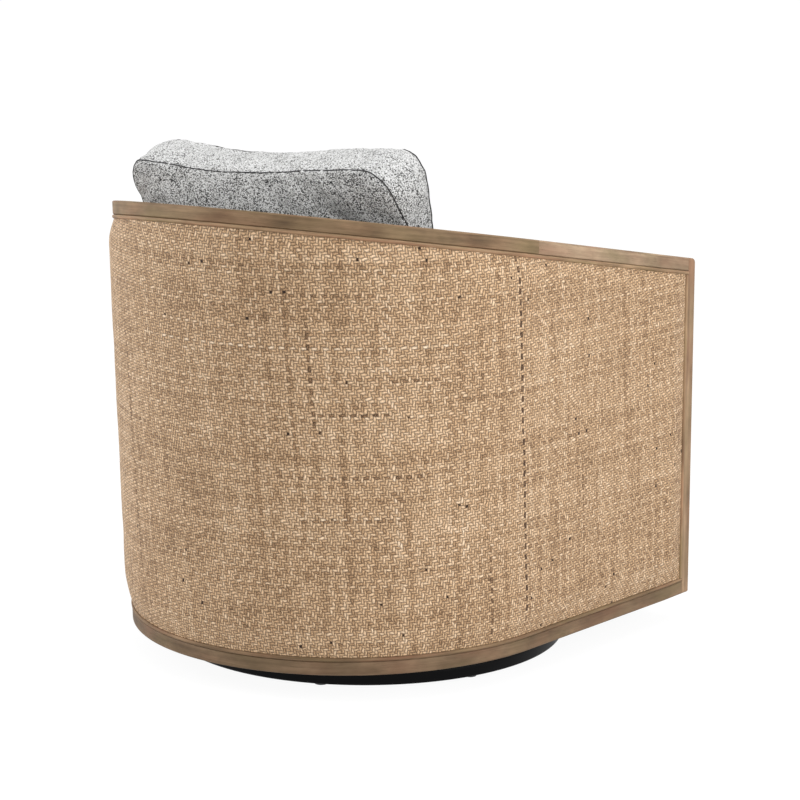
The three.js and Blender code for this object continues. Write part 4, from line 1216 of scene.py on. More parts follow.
@dataclass
class InnerUpholstery(SubAssembly):
    """Padded inside of the back and arms, the covered front rail and the sprung deck."""

    foot: float = 0.2913
    top_drop: float = 0.005
    round: float = 0.009
    foot_round: float = 0.005
    end_round: float = 0.007
    crown: float = 0.0022
    apron_recess: float = 0.002
    apron_depth: float = 0.038
    apron_top: float = 0.291
    deck_low: float = 0.306
    deck_top: float = 0.322
    deck_round: float = 0.0078
    deck_draw: float = 0.012
    deck_dish: float = 0.003
    roll_depth: float = 0.022
    roll_top: float = 0.314
    plan: BarrelPlan = PLAN

    def pad(self, name: str, start: float, end: float, seed: int) -> Piece:
        """Pad on the inside of the wall between two runs, rounded toward its ends and crowned."""
        plan = self.plan
        runs = plan.runs(start, end, 0.008)
        inner = plan.room_face + plan.padding
        top = plan.spot(runs, inner, drop=self.top_drop)[:, 2]
        back = plan.room_face + plan.fit
        shares = np.linspace(0, 1, 28)[1:-1]
        from_end = np.clip(np.minimum(runs - start, end - runs) / self.end_round, 0, 1)
        tuck = self.end_round * (1 - np.sqrt(np.clip(1 - (1 - from_end) ** 2, 0, 1)))
        rings = []
        for run, high, drawn in zip(runs, top, tuck):
            face, low = inner - drawn, self.foot + self.foot_round
            full = eased((inner - plan.room_face - drawn) / plan.padding)
            spots = np.vstack([
                (back, self.foot), arc((face - self.foot_round, low), self.foot_round, -90, 0, 6),
                np.column_stack([
                    face + self.crown * np.sin(math.pi * shares) * full,
                    low + (high - low - self.round) * shares,
                ]),
                arc((face - self.round, high - self.round), self.round, 0, 90, 9), (back, high - 0.0004),
            ])
            rings.append(plan.spot(run, spots[:, 0], rise=spots[:, 1]))
        points = np.array(rings)
        piece = skin(name, points, crease=60)
        co, way = places(piece), outward(piece)
        soft = ripples(co, [(0.11, 0.0007), (0.045, 0.0003)], seed)
        facing = np.clip(-(co[:, 0] * way[:, 0] + (co[:, 1] - plan.arc_y) * way[:, 1]) / 0.2, 0, 1)
        move_to(piece, co + way * (soft * facing)[:, None])
        return self.settle(piece, Body.SEAT, "speckled_fabric", BOUCLE, name)

    def apron(self) -> Piece:
        """Covered rail under the front of the seat."""
        plan = self.plan
        low = plan.floor_gap + plan.rail_height + plan.fit
        front = plan.front_y + self.apron_recess
        high = (front + self.apron_depth, self.apron_top)
        section = rounded_box((front, low), high, [0.006, 0.002, 0.003, 0.010], 7)
        half = plan.half_width(section, plan.room_face) - 2 * plan.fit
        shares = np.sin(np.linspace(-math.pi / 2, math.pi / 2, 90))
        rings = []
        for share in shares:
            drawn = 0.003 * max(0.0, (abs(share) - 0.985) / 0.015) ** 2
            y = section[:, 0] + np.where(section[:, 0] < front + 0.02, drawn, 0.0)
            rings.append(np.column_stack([share * half, y, section[:, 1]]))
        piece = skin("front_apron", np.array(rings), crease=60)
        co, way = places(piece), outward(piece)
        move_to(piece, co + way * (ripples(co, [(0.09, 0.0005)], 23) * (way[:, 1] < -0.5))[:, None])
        return self.settle(piece, Body.SEAT, "speckled_fabric", BOUCLE, "front_apron")

    def deck(self) -> Piece:
        """Padded cloth over the seat springs, rolled over the front rail."""
        plan = self.plan
        front = plan.front_y + self.apron_recess
        inset = plan.room_face + plan.padding + plan.fit
        outline = plan.outline(inset, self.deck_low, front)
        low, top, draw, ease = self.deck_low, self.deck_top, self.deck_draw, self.deck_round
        rows = [(0.9, low), (0.4, low), (draw, low)]
        rows += [(draw * (1 - math.sin(a)) ** 1.5, low + ease * (1 - math.cos(a))) for a in (0.5, 1.0, 1.5)]
        rows += [(draw * (1 - math.cos(a)), top - ease * (1 - math.sin(a))) for a in (0.2, 0.7, 1.2, 1.57)]
        rows += [(s, top - self.deck_dish * eased(s * 1.6)) for s in (0.04, 0.1, 0.2, 0.35, 0.55, 0.8, 0.97)]
        sheet = skin("deck_sheet", np.array([level_ring(drawn_in(outline, s), height) for s, height in rows]))
        high = (front + self.roll_depth, self.roll_top)
        section = rounded_box((front, self.foot), high, [0.004, 0.002, 0.002, 0.009], 6)
        half = plan.half_width(section, inset)
        rings = np.array([np.column_stack([share * half, section]) for share in np.linspace(-1, 1, 60)])
        roll = skin("deck_roll", rings, crease=60)
        piece = joined("seat_deck", [sheet, roll])
        return self.settle(piece, Body.SEAT, "deck_cloth", DECK_CLOTH, "seat_deck")

    def build(self) -> list[Piece]:
        """Build the pads, the apron and the deck."""
        plan = self.plan
        round_end = plan.round_run - plan.fit
        arm_end = plan.run_at(plan.front_y + self.apron_recess)
        return [
            self.pad("inside_back", -round_end, round_end, 5),
            self.pad("inside_arm_right", -arm_end, -plan.round_run, 6),
            self.pad("inside_arm_left", plan.round_run, arm_end, 7),
            self.apron(), self.deck(),
        ]


@dataclass
class SewnCushion(SubAssembly):
    """Loose box cushion: two crowned panels sewn to a boxing strip."""

    name: str = "cushion"
    voxel: float = 0.006
    swell: float = 0.010
    seam_depth: float = 0.003
    seam_reach: float = 0.0042
    thread: float = 0.0009
    gathers: tuple[Row, ...] = ((0.022, 0.0006), (0.011, 0.0003))
    gather_reach: float = 0.02
    lumps: tuple[Row, ...] = ((0.05, 0.0006), (0.012, 0.00022))
    slack: float = 0.0015
    fill: float = 0.8
    steps: int = 20
    small: float = 0.006
    seed: int = 1

    def blank(self) -> Piece:
        """The cushion before it is filled out."""
        raise NotImplementedError

    def ring(self, shrink: float, through: float) -> Array:
        """The cushion's outline drawn in by a share, at a place through its thickness."""
        raise NotImplementedError

    def seams(self) -> list[Array]:
        """Closed lines along which its panels are sewn."""
        raise NotImplementedError

    def under_size(self, rows: Sequence[Row]) -> Piece:
        """Body over rows of drawn-in outlines, a little small so that filling brings it to size."""
        small = self.small
        return skin(f"{self.name}_blank", np.array([self.ring(s + small, t) for s, t in rows]))

    def held(self, co: Array) -> Array:
        """Share by which each point is held by what the cushion lies on."""
        return np.zeros(len(co))

    def seam_distance(self, co: Array, seams: Sequence[Array]) -> Array:
        """Distance from each point to the nearest seam."""
        dots = np.concatenate(seams)
        tree = KDTree(len(dots))
        for i, dot in enumerate(dots):
            tree.insert(dot, i)
        tree.balance()
        return np.array([tree.find(point)[2] for point in co])

    def remesh(self, piece: Piece) -> None:
        """Give the piece an even mesh."""
        change = piece.modifiers.new("even", "REMESH")
        change.mode = "VOXEL"
        change.voxel_size = self.voxel
        bake(piece)

    def inflate(self, piece: Piece, away: Array, firm: Array) -> None:
        """Fill the piece out as cloth under pressure, and limit how far each point moves."""
        start = places(piece)
        pins = piece.vertex_groups.new(name="pins")
        for i in np.nonzero((away < self.voxel * 1.1) | (firm > 0.5))[0]:
            pins.add([int(i)], 1.0, "REPLACE")
        cloth = piece.modifiers.new("fill", "CLOTH")
        for setting, value in {
            "quality": 5, "mass": 0.3, "tension_stiffness": 12, "compression_stiffness": 12,
            "shear_stiffness": 6, "bending_stiffness": 1.2, "use_pressure": True, "uniform_pressure_force": 4,
            "shrink_min": -0.035, "vertex_group_mass": "pins",
        }.items():
            setattr(cloth.settings, setting, value)
        cloth.settings.effector_weights.gravity = 0
        cloth.collision_settings.use_collision = False
        scene = bpy.context.scene
        for step in range(1, self.steps + 1):
            scene.frame_set(step)
        bake(piece)
        scene.frame_set(1)
        piece.vertex_groups.clear()
        move = places(piece) - start
        length = np.linalg.norm(move, axis=1)
        limit = self.swell * (0.2 + 0.8 * eased(away / 0.07)) * (1 - firm)
        move_to(piece, start + move * np.minimum(1, limit / np.maximum(length, 1e-9))[:, None])

    def allowance(self, co: Array) -> Array:
        """How far each point may stand proud of the cushion's solid."""
        return np.full(len(co), self.slack)

    def keep_within(self, piece: Piece) -> None:
        """Draw in what stands proud of the cushion's solid by more than it may."""
        tree = surface_tree(frame["nodes"][self.name].data)
        co = places(piece)
        for i, (point, allowed) in enumerate(zip(co, self.allowance(co))):
            spot, normal, _, _ = tree.find_nearest(point)
            excess = (Vector(point) - spot).dot(normal) - allowed
            if excess > 0:
                co[i] = point - np.array(normal) * excess
        move_to(piece, co)

    def relax(self, piece: Piece, times: int) -> None:
        """Even out small steps in the surface."""
        change = piece.modifiers.new("relax", "SMOOTH")
        change.factor = 0.5
        change.iterations = times
        bake(piece)

    def sew(self, piece: Piece, seams: Sequence[Array]) -> None:
        """Draw the surface in along the seams, with small gathers beside them."""
        co, way = places(piece), outward(piece)
        away = self.seam_distance(co, seams)
        pull = -self.seam_depth * np.exp(-((away / self.seam_reach) ** 2))
        gather = ripples(co, self.gathers, self.seed) * np.exp(-((away / self.gather_reach) ** 2))
        lumps = ripples(co, self.lumps, self.seed + 50)
        move_to(piece, co + way * (pull + gather + lumps)[:, None])

    def threads(self, piece: Piece, seams: Sequence[Array]) -> Piece:
        """Dark stitched line sunk in each seam; its dark grey is partly painted shade, standing in for the
        shade in the seam's groove.
        """
        tree = surface_tree(piece.data)
        lines = []
        for number, seam in enumerate(seams):
            path = np.array(seam)
            for _ in range(3):
                path = np.array([tree.find_nearest(point)[0][:] for point in path])
                path = (np.roll(path, 1, 0) + path * 2 + np.roll(path, -1, 0)) / 4
            laid = [tree.find_nearest(point)[:2] for point in path]
            path = np.array([np.array(spot) + np.array(normal) * self.thread * 0.9 for spot, normal in laid])
            lines.append(tube(f"{self.name}_seam_{number}", path, self.thread, 6, looped=True))
        return joined(f"{self.name}_seams", lines)

    def build(self) -> list[Piece]:
        """Fill, sew and dress the cushion."""
        piece = self.blank()
        piece.name = self.name
        seams = self.seams()
        self.remesh(piece)
        co = places(piece)
        self.inflate(piece, self.seam_distance(co, seams), self.held(co))
        self.relax(piece, 2)
        self.keep_within(piece)
        self.relax(piece, 2)
        finer = piece.modifiers.new("finer", "SUBSURF")
        finer.levels = finer.render_levels = 1
        bake(piece)
        self.sew(piece, seams)
        piece.data.shade_smooth()
        self.settle(piece, Body.SEAT, "speckled_fabric", BOUCLE, self.name)
        threads = self.threads(piece, seams)
        return [piece, self.settle(threads, Body.SEAT, "speckled_fabric", SEAM_THREAD_AND_SHADE)]


@dataclass
class BackCushion(SewnCushion):
    """Loose cushion whose top sags between its corners and whose rear corners the round wall presses in."""

    name: str = "back_cushion"
    half_left: float = 0.2462
    half_right: float = 0.2463
    flare_right: float = 0.004
    rear_draw_right: float = 0.008
    height: float = 0.3565
    thickness: float = 0.146
    tilt: float = math.radians(13)
    corner: float = 0.033
    corner_left: float = 0.023
    rear_corner_right: float = 0.048
    top_line: tuple[Row, ...] = (
        (-0.24, 0.010), (-0.19, 0.0065), (-0.14, 0.0034), (-0.09, 0.0), (-0.045, -0.0068), (0.0, -0.0108),
        (0.06, -0.0138), (0.11, -0.0132), (0.14, -0.0105), (0.17, -0.0070), (0.20, -0.0048), (0.24, -0.0015),
    )
    seam_shrink: float = 0.008
    seam_place: float = 0.050
    press_left: float = 0.006
    press_right: float = 0.054
    press_start: float = 0.0
    press_end: float = 0.235
    press_top: float = 0.356
    press_depth: float = 0.150
    extra_slack: float = 0.010
    seed: int = 3
    plan: BarrelPlan = PLAN

    def placing(self) -> Matrix:
        """From the cushion's own axes, across, up and through, to the chair's."""
        solid = np.array([v.co for v in frame["nodes"][self.name].data.vertices])
        up = np.array([0, math.sin(self.tilt), math.cos(self.tilt)])
        through = np.array([0, -math.cos(self.tilt), math.sin(self.tilt)])
        reach = solid @ through
        origin = up * (solid @ up).min() + through * (reach.min() + reach.max()) / 2
        place = Matrix.Identity(4)
        for row in range(3):
            place[row][0] = (1, 0, 0)[row]
            place[row][1], place[row][2], place[row][3] = up[row], through[row], origin[row]
        return place

    def outline(self, rear: float) -> Array:
        """Outline of the cushion seen face on, at a share of the way from the front seam to the rear one."""
        arcs = []
        for side, upper, start in ((1, True, 0), (-1, True, 90), (-1, False, 180), (1, False, 270)):
            half, bend = self.half_left, self.corner_left
            if side < 0:
                half = self.half_right - self.rear_draw_right * rear
                bend = self.corner + (self.rear_corner_right - self.corner) * rear
            middle = (side * (half - bend), self.height - bend if upper else bend)
            arcs.append(arc(middle, bend, start, start + 90, 13))
        spans = []
        for before, after in zip(arcs, arcs[1:] + arcs[:1]):
            spans += [before, np.linspace(before[-1], after[0], 34)[1:-1]]
        points = np.vstack(spans)
        x, level = points[:, 0].copy(), points[:, 1].copy()
        upper = eased((level - self.height * 0.45) / (self.height * 0.5))
        points[:, 1] += upper * np.interp(x, *np.array(self.top_line).T)
        lower = eased(1.6 * (1 - level / self.height))
        points[:, 0] -= self.flare_right * np.clip(-x / self.half_right, 0, 1) * lower
        return points

    def ring(self, shrink: float, through: float) -> Array:
        """The outline drawn in by a share, at a place through the thickness."""
        rear = min(max(0.5 - through / (2 * self.seam_place), 0.0), 1.0)
        drawn = drawn_in(self.outline(rear), shrink)
        aside = eased((np.abs(drawn[:, 0]) - self.press_start) / (self.press_end - self.press_start))
        below = eased((self.press_top - drawn[:, 1]) / self.press_depth)
        press = np.where(drawn[:, 0] > 0, self.press_left, self.press_right)
        return np.column_stack([drawn, through + press * rear * aside * below])

    def blank(self) -> Piece:
        """Two crowned panels and the boxing between them, a little under size."""
        crown = self.thickness / 2 - self.seam_place - 0.004
        faces = []
        for shrink in (0.95, 0.8, 0.65, 0.5, 0.38, 0.27, 0.18, 0.11, 0.06):
            faces.append((shrink, self.seam_place + crown * (1 - (1 - shrink) ** 2.4)))
        boxing = [(self.seam_shrink, self.seam_place), (0.006, 0.036), (0.0, 0.015)]
        rows = [(s, -t) for s, t in faces + boxing] + [(s, t) for s, t in reversed(faces + boxing)]
        piece = self.under_size(rows)
        piece.data.transform(self.placing())
        return piece

    def seams(self) -> list[Array]:
        """The rear and front seams."""
        place = np.array(self.placing())
        rings = (self.ring(self.seam_shrink, side * self.seam_place) for side in (-1, 1))
        return [ring @ place[:3, :3].T + place[:3, 3] for ring in rings]

    def allowance(self, co: Array) -> Array:
        """More above the wall and away from its pads, where nothing bounds the cushion."""
        plan = self.plan
        above = (co[:, 2] - plan.top_at(co[:, 1])) / 0.03
        room = plan.back_radius - plan.room_face - plan.padding - np.hypot(co[:, 0], co[:, 1] - plan.arc_y)
        free = np.maximum(above, (room - 0.012) / 0.02)
        return self.slack + self.extra_slack * eased(free)


@dataclass
class SeatCushion(SewnCushion):
    """Loose cushion that fills the seat, its front bowed."""

    name: str = "seat_cushion"
    voxel: float = 0.0075
    swell: float = 0.012
    low: float = 0.3223
    thickness: float = 0.148
    corner: float = 0.040
    front_bow: float = 0.006
    clearance: float = 0.0025
    low_seam: Row = (0.016, 0.045)
    top_seam: Row = (0.030, 0.79)
    fill: float = 0.85
    small: float = 0.004
    seed: int = 8
    plan: BarrelPlan = PLAN

    def outline(self) -> Array:
        """Plan outline at the cushion's widest."""
        plan = self.plan
        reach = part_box("woven_panel")[1].y
        front = -reach + self.front_bow
        inset = plan.room_face + plan.padding + self.clearance
        room = plan.outline(inset, self.low + self.thickness / 3, front + self.corner)
        corner_x, corner_y = room[-1]
        angles = np.linspace(0, math.pi / 2, 13)[1:]
        left = np.column_stack([
            corner_x - self.corner * (1 - np.cos(angles)), corner_y - self.corner * np.sin(angles),
        ])
        straight = corner_x - self.corner
        shares = np.linspace(1, -1, 46)[1:-1]
        bow = np.column_stack([straight * shares, front - self.front_bow * (1 - shares**2)])
        right = left[::-1] * (-1, 1)
        return np.vstack([room, left, bow, right])

    def ring(self, shrink: float, share: float) -> Array:
        """The outline drawn in by a share, at a share of the thickness."""
        return level_ring(drawn_in(self.outline(), shrink), self.low + share * self.thickness)

    def blank(self) -> Piece:
        """Flat underside, boxing and a crowned top, a little under size."""
        rows = [(0.9, 0.0), (0.5, 0.0), (0.05, 0.0), self.low_seam, (0.004, 0.14), (0.0, 0.33), (0.003, 0.55)]
        rows += [(0.013, 0.7), self.top_seam]
        crown = 0.99 - self.top_seam[1] - 0.03
        for shrink in (0.06, 0.1, 0.16, 0.24, 0.34, 0.46, 0.6, 0.75, 0.9):
            rows.append((shrink, self.top_seam[1] + crown * (1 - (1 - shrink) ** 2.6)))
        return self.under_size(rows)

    def seams(self) -> list[Array]:
        """The lower and upper seams."""
        return [self.ring(*self.low_seam), self.ring(*self.top_seam)]

    def held(self, co: Array) -> Array:
        """The deck holds the underside."""
        return (co[:, 2] < self.low + 0.004).astype(float)


@dataclass
class FloorBase(SubAssembly):
    """Enamelled ring on nylon glides, its cross, and the ball race at its middle."""

    outer: float = 0.325
    width: float = 0.046
    low: float = 0.0033
    high: float = 0.026
    round: float = 0.007
    foot_round: float = 0.003
    inner_round: float = 0.003
    centre: Row = (0.0, -0.038)
    notch_reach: float = 0.3183
    notch_half: float = 0.0213
    notch_floor: float = 0.0207
    glide_radius: float = 0.011
    glide_height: float = 0.003
    glide_ease: float = 0.0009

    def ring(self) -> Piece:
        """Ring with a rounded shoulder, let in for the ends of the cross."""
        inner = self.outer - self.width
        radii = [self.inner_round, self.foot_round, self.round, self.inner_round]
        section = rounded_box((inner, self.low), (self.outer, self.high), radii, 9)
        piece = turned("base_ring", section, self.centre, 192)
        for angle in (0.0, math.pi / 2):
            high = (self.notch_half, self.high + 0.004)
            block = rounded_box((-self.notch_half, self.notch_floor), high, [0.0001] * 4, 1)
            reach = np.full(len(block), self.notch_reach)
            cutter = skin("notch", np.array([np.column_stack([side * reach, block]) for side in (-1, 1)]))
            cutter.data.transform(Matrix.Translation((*self.centre, 0)) @ Matrix.Rotation(angle, 4, "Z"))
            change = piece.modifiers.new("notch", "BOOLEAN")
            change.operation = "DIFFERENCE"
            change.solver = "EXACT"
            change.object = cutter
            bpy.context.view_layer.update()
            bake(piece)
            bpy.data.objects.remove(cutter)
        piece.data.set_sharp_from_angle(angle=math.radians(38))
        return self.settle(piece, Body.BASE, "black_enamel", ENAMEL, "base_ring")

    def glide(self, number: int) -> Piece:
        """Nylon foot with a domed edge."""
        name = f"glide_{number}"
        low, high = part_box(name)
        middle = ((low.x + high.x) / 2, (low.y + high.y) / 2)
        edge = arc((self.glide_radius - self.glide_ease, self.glide_ease), self.glide_ease, -90, 0, 5)
        top = self.glide_height
        profile = [(ON_AXIS, 0.0), *edge, (self.glide_radius, top), (ON_AXIS, top)]
        return self.settle(turned(name, profile, middle, 40), Body.BASE, "nylon", NYLON, name)

    def build(self) -> list[Piece]:
        """Build the ring and its feet, and dress the bearing."""
        pieces = [self.ring(), *(self.glide(i) for i in range(1, 9))]
        pieces += self.dress(ENAMEL, "base_cross")
        pieces += self.dress(ZINC, "lower_race", "king_pin", "ball_cage", "upper_race")
        return pieces


@dataclass
class RockerMechanism(SubAssembly):
    """Rocker on its swivel plate: springs, stops and pinned hangers."""

    centre: Row = (0.0, -0.038)
    spring_x: float = 0.092
    spring_y: float = 0.086
    spring_low: float = 0.0487
    spring_high: float = 0.1291
    coil_radius: float = 0.014
    wire: float = 0.0032
    curls: int = 5
    plate_top: float = 0.0468
    plate_screw: float = 0.042
    flange_low: float = 0.131
    flange_screw_x: float = 0.108
    flange_screws_y: Row = (-0.118, -0.03, 0.03, 0.118)

    def coil(self, end: str, hand: Hand) -> Piece:
        """Compression spring between the plate and a hanger, its end turns closed."""
        name = f"coil_spring_{end}_{hand.word}"
        share = np.linspace(0, 1, self.curls * 40 + 1)
        angle = share * self.curls * 2 * math.pi
        ends = 0.55 / self.curls
        climb = np.clip((share - ends) / (1 - 2 * ends), 0, 1) * 0.93 + 0.07 * share
        middle_y = self.centre[1] + self.spring_y * (1 if end == "rear" else -1)
        path = np.column_stack([
            hand.value * self.spring_x + self.coil_radius * np.cos(angle),
            middle_y + self.coil_radius * np.sin(angle),
            self.spring_low + (self.spring_high - self.spring_low) * climb,
        ])
        piece = tube(name, path, self.wire / 2, 10)
        piece.data.materials.append(SPRING_STEEL.material())
        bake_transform(piece)
        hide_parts(name)
        piece.name = f"{name}_detail"
        return piece

    def screws(
        self, name: str, spots: Sequence[Row], top: float, body: Body, down: bool, size: float,
    ) -> Piece:
        """Hex-headed screws with washers, in a row of places."""
        parts = []
        way = -1 if down else 1
        for number, (x, y) in enumerate(spots):
            rim, flat = size * 1.15, size * 0.8
            washer = [(ON_AXIS, 0), (rim, 0), (rim, 0.0008), (size, 0.0011), (ON_AXIS, 0.0011)]
            head = [
                (ON_AXIS, 0.0011), (flat, 0.0011), (flat, 0.0036), (size * 0.68, 0.0043), (ON_AXIS, 0.0046),
            ]
            for part, profile, sides in (("washer", washer, 24), ("head", head, 6)):
                lifted = [(reach, top + way * level) for reach, level in profile]
                parts.append(turned(f"{part}_{number}", lifted, (x, y), sides))
        return self.settle(joined(name, parts), body, "zinc_steel", ZINC)

    def build(self) -> list[Piece]:
        """Build the springs and screws, and dress the steelwork."""
        pieces = [self.coil(end, hand) for end in ("front", "rear") for hand in Hand]
        y = self.centre[1]
        plate_spots = [(sx * self.plate_screw, y + sy * self.plate_screw) for sx in (-1, 1) for sy in (-1, 1)]
        pieces.append(self.screws("plate_screws", plate_spots, self.plate_top, Body.CARRIER, False, 0.0055))
        for hand in Hand:
            spots = [(hand.value * self.flange_screw_x, y + place) for place in self.flange_screws_y]
            name = f"hanger_screws_{hand.word}"
            pieces.append(self.screws(name, spots, self.flange_low, Body.SEAT, True, 0.0048))
        pieces += self.dress(
            ENAMEL, "swivel_plate", "rocker_standard_left", "rocker_standard_right", "rocker_hanger_left",
            "rocker_hanger_right",
        )
        pieces += self.dress(ZINC, "pivot_pin_left", "pivot_pin_right")
        pieces += self.dress(RUBBER, "bumper_front", "bumper_rear")
        return pieces


@dataclass
class SeatFrame(SubAssembly):
    """Hoops, cross rails, zigzag springs and the cloth under the seat."""

    count: int = 4
    wire: float = 0.0038
    width: float = 0.044
    crown: float = 0.009
    side_room: float = 0.082
    landing: float = 0.008
    pitch: float = 0.060
    hoop: float = 0.060
    frame_top: float = 0.291
    roll: float = 0.022
    apron_recess: float = 0.002
    apron_depth: float = 0.038
    sheet_inset: float = 0.036
    sheet_low: float = 0.1343
    sheet_rise: float = 0.0006
    sheet_sag: float = 0.0003
    sheet_thickness: float = 0.0007
    staple_half: float = 0.005
    staple_leg: float = 0.0008
    staple_wire: float = 0.0004
    plan: BarrelPlan = PLAN

    def zigzag(self, number: int) -> Piece:
        """Zigzag spring from the front rail to the upper hoop, bowed upward."""
        plan = self.plan
        inner = plan.back_radius - plan.room_face - self.hoop
        spacing = 2 * (inner - self.side_room) / (self.count - 1)
        x = (number - 1 - (self.count - 1) / 2) * spacing
        back = plan.arc_y + math.sqrt(inner**2 - (abs(x) + self.width / 2) ** 2)
        start = plan.front_y + self.apron_recess + self.roll + self.wire
        end = back + self.landing
        waves = round((end - start) / self.pitch)
        share = np.linspace(0, 1, waves * 28 + 1)
        swing = np.cos(share * waves * 2 * math.pi)
        squared = np.sign(swing) * np.abs(swing) ** 0.75
        low = self.frame_top + plan.fit + self.wire / 2
        path = np.column_stack([
            x + self.width / 2 * squared, start + (end - start) * share,
            low + self.crown * np.sin(share * math.pi),
        ])
        for _ in range(4):
            path[1:-1] = (path[:-2] + path[1:-1] * 2 + path[2:]) / 4
        name = f"seat_spring_{number}"
        return self.settle(tube(name, path, self.wire / 2, 8), Body.SEAT, "spring_steel", SPRING_STEEL, name)

    def sheet_outline(self) -> Array:
        """Plan outline of the cloth under the seat."""
        front = self.plan.front_y + self.apron_recess + self.apron_depth + self.plan.fit
        return self.plan.outline(self.sheet_inset, self.sheet_low, front)

    def dust_sheet(self) -> Piece:
        """Thin black cloth stretched under the lower hoop, with faint drag lines."""
        outline = self.sheet_outline()
        shares = [0.985, *np.linspace(0.94, 0.0, 26)]
        rings = []
        for face in (0, 1):
            for shrink in reversed(shares) if face else shares:
                plan = drawn_in(outline, shrink)
                drag = ripples(plan, [(0.09, 0.00022), (0.03, 0.0001)], 31) * (1 - abs(2 * shrink - 1))
                level = self.sheet_low + self.sheet_rise + drag - self.sheet_sag * (1 - shrink) * shrink
                rings.append(level_ring(plan, level + self.sheet_thickness * (1 - face)))
        piece = skin("dust_sheet", np.array(rings[::-1]), crease=60)
        self.settle(piece, Body.SEAT, "black_cloth", DUST_CLOTH, "dust_sheet")
        return piece

    def staples(self) -> Piece:
        """Row of wire staples that hold the cloth's edge."""
        line = drawn_in(self.sheet_outline(), 0.03)
        low = self.sheet_low - 0.0001
        leg = low + self.staple_leg
        parts = []
        for i in range(2, len(line) - 2, 3):
            along = line[i + 1] - line[i - 1]
            along /= np.linalg.norm(along)
            half, bend = along * self.staple_half, along * self.staple_wire
            start, end = line[i] - half, line[i] + half
            path = np.array([(*start, leg), (*(start + bend), low), (*(end - bend), low), (*end, leg)])
            parts.append(tube(f"staple_{i}", path, self.staple_wire, 5))
        return self.settle(joined("dust_sheet_staples", parts), Body.SEAT, "zinc_steel", ZINC)

    def build(self) -> list[Piece]:
        """Build the springs and cloth, and dress the plywood."""
        pieces = [self.zigzag(i + 1) for i in range(self.count)]
        pieces += [self.dust_sheet(), self.staples()]
        pieces += self.dress(BIRCH, "lower_hoop", "upper_hoop", "cross_rail_front", "cross_rail_rear")
        return pieces


# Camera and light


def aimed(place: Vector, ahead: Vector) -> Matrix:
    """Placing of a camera or lamp that looks along a direction."""
    return Matrix.Translation(place) @ ahead.to_track_quat("-Z", "Y").to_matrix().to_4x4()


@dataclass
class PhotoCamera:
    """Camera at the photograph's place, aimed by its own angles."""

    distance: float = 4.28527
    azimuth: float = math.radians(213.24345)
    yaw: float = -0.01751
    height: float = 1.27871
    pitch: float = 0.20329
    lens: float = 120.92
    sensor: float = 36.0

    def build(self) -> None:
        """Make the camera and look through it."""
        facing = self.azimuth + self.yaw
        place = Vector((
            math.sin(self.azimuth) * self.distance, -math.cos(self.azimuth) * self.distance, self.height,
        ))
        level = math.cos(self.pitch)
        ahead = Vector((-math.sin(facing) * level, math.cos(facing) * level, -math.sin(self.pitch)))
        data = bpy.data.cameras.new("photo_camera")
        data.lens = self.lens
        data.sensor_width = self.sensor
        data.sensor_fit = "HORIZONTAL"
        camera = bpy.data.objects.new("photo_camera", data)
        bpy.context.scene.collection.objects.link(camera)
        camera.matrix_world = aimed(place, ahead)
        bpy.context.scene.camera = camera


@dataclass(frozen=True)
class Lamp:
    """A square soft lamp."""

    name: str
    place: Row
    power: float
    size: float


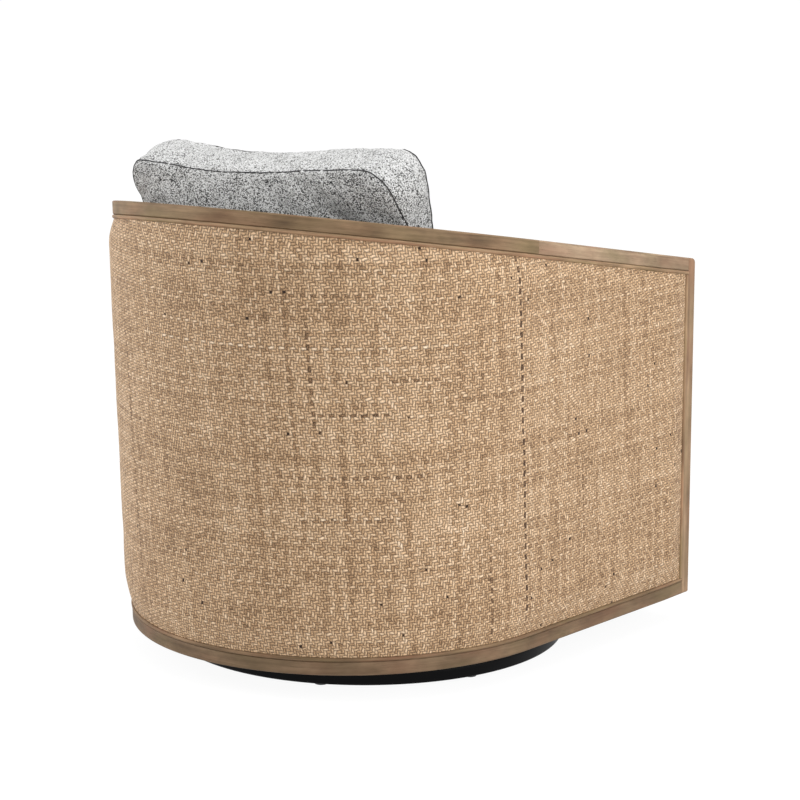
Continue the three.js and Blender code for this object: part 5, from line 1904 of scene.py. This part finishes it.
@dataclass
class Studio:
    """White floor, even daylight and three soft lamps."""

    sky: float = 0.74
    floor_size: float = 80.0
    floor_tone: float = 0.72
    floor_white: float = 0.85
    floor_glow: float = 1.097
    aim: Row = (0.0, 0.0, 0.45)
    lamps: tuple[Lamp, ...] = (
        Lamp("overhead", (-0.3, -0.2, 3.4), 36.0, 2.6), Lamp("right_side", (-3.2, 0.4, 1.5), 50.0, 1.8),
        Lamp("left_side", (3.1, 1.5, 1.6), 56.0, 1.8),
    )

    def world(self) -> None:
        """White surroundings, seen at full white and lighting at a plainer level."""
        world = bpy.data.worlds.new("white_room")
        bpy.context.scene.world = world
        world.use_nodes = True
        nodes = Nodes(world.node_tree)
        level = nodes.node("MapRange", {"Value": nodes.seen_ray(), "To Min": self.sky, "To Max": 1.0})
        glow = nodes.node("Background", {"Color": (1, 1, 1), "Strength": level.outputs[0]})
        nodes.node("OutputWorld", {0: glow.outputs[0]})

    def floor(self) -> None:
        """Pale floor that looks white and keeps a faint shadow."""
        half = self.floor_size / 2
        corners = [(-half, -half, 0), (half, -half, 0), (half, half, 0), (-half, half, 0)]
        piece = make_piece("floor", np.array(corners), [[0, 1, 2, 3]])
        if piece.data.polygons[0].normal.z < 0:
            piece.data.flip_normals()
        shader = Shader("pale_floor")
        grain = shader.noise(shader.vector(*shader.solid_metres()), 3.0, 2.0)
        tone = shader.mix(grain, (self.floor_tone,) * 3, (self.floor_tone * 1.03,) * 3)
        shader.dress(base_color=tone, roughness=0.9, specular=0.1)
        white = shader.node("Emission", {"Color": (1, 1, 1), "Strength": self.floor_glow})
        share = shader.seen_ray() * self.floor_white
        blend = shader.node("MixShader", {0: share, 1: shader.surface.outputs[0], 2: white.outputs[0]})
        shader.feed(shader.output.inputs[0], blend.outputs[0])
        piece.data.materials.append(shader.material)

    def hang(self, lamp: Lamp) -> None:
        """Put up a lamp and aim it at the middle of the chair."""
        data = bpy.data.lights.new(lamp.name, "AREA")
        data.energy = lamp.power
        data.shape = "SQUARE"
        data.size = lamp.size
        made = bpy.data.objects.new(lamp.name, data)
        bpy.context.scene.collection.objects.link(made)
        made.matrix_world = aimed(Vector(lamp.place), Vector(self.aim) - Vector(lamp.place))

    def build(self) -> None:
        """Set the stage and its light."""
        self.floor()
        self.world()
        for lamp in self.lamps:
            self.hang(lamp)
        bpy.context.scene.view_settings.view_transform = "Standard"


def main() -> None:
    """Build the chair's sub-assemblies in order and report each piece."""
    logging.basicConfig(level=logging.INFO, format="%(name)s: %(message)s")
    PhotoCamera().build()
    Studio().build()
    for group in (
        WoodenFrame(), BeadTrim(), WovenBack(), InnerUpholstery(), SeatCushion(), BackCushion(), FloorBase(),
        RockerMechanism(), SeatFrame(),
    ):
        for piece in group.build():
            LOG.info("%s: %s, %d faces", type(group).__name__, piece.name, len(piece.data.polygons))


if __name__ == "__main__":
    main()
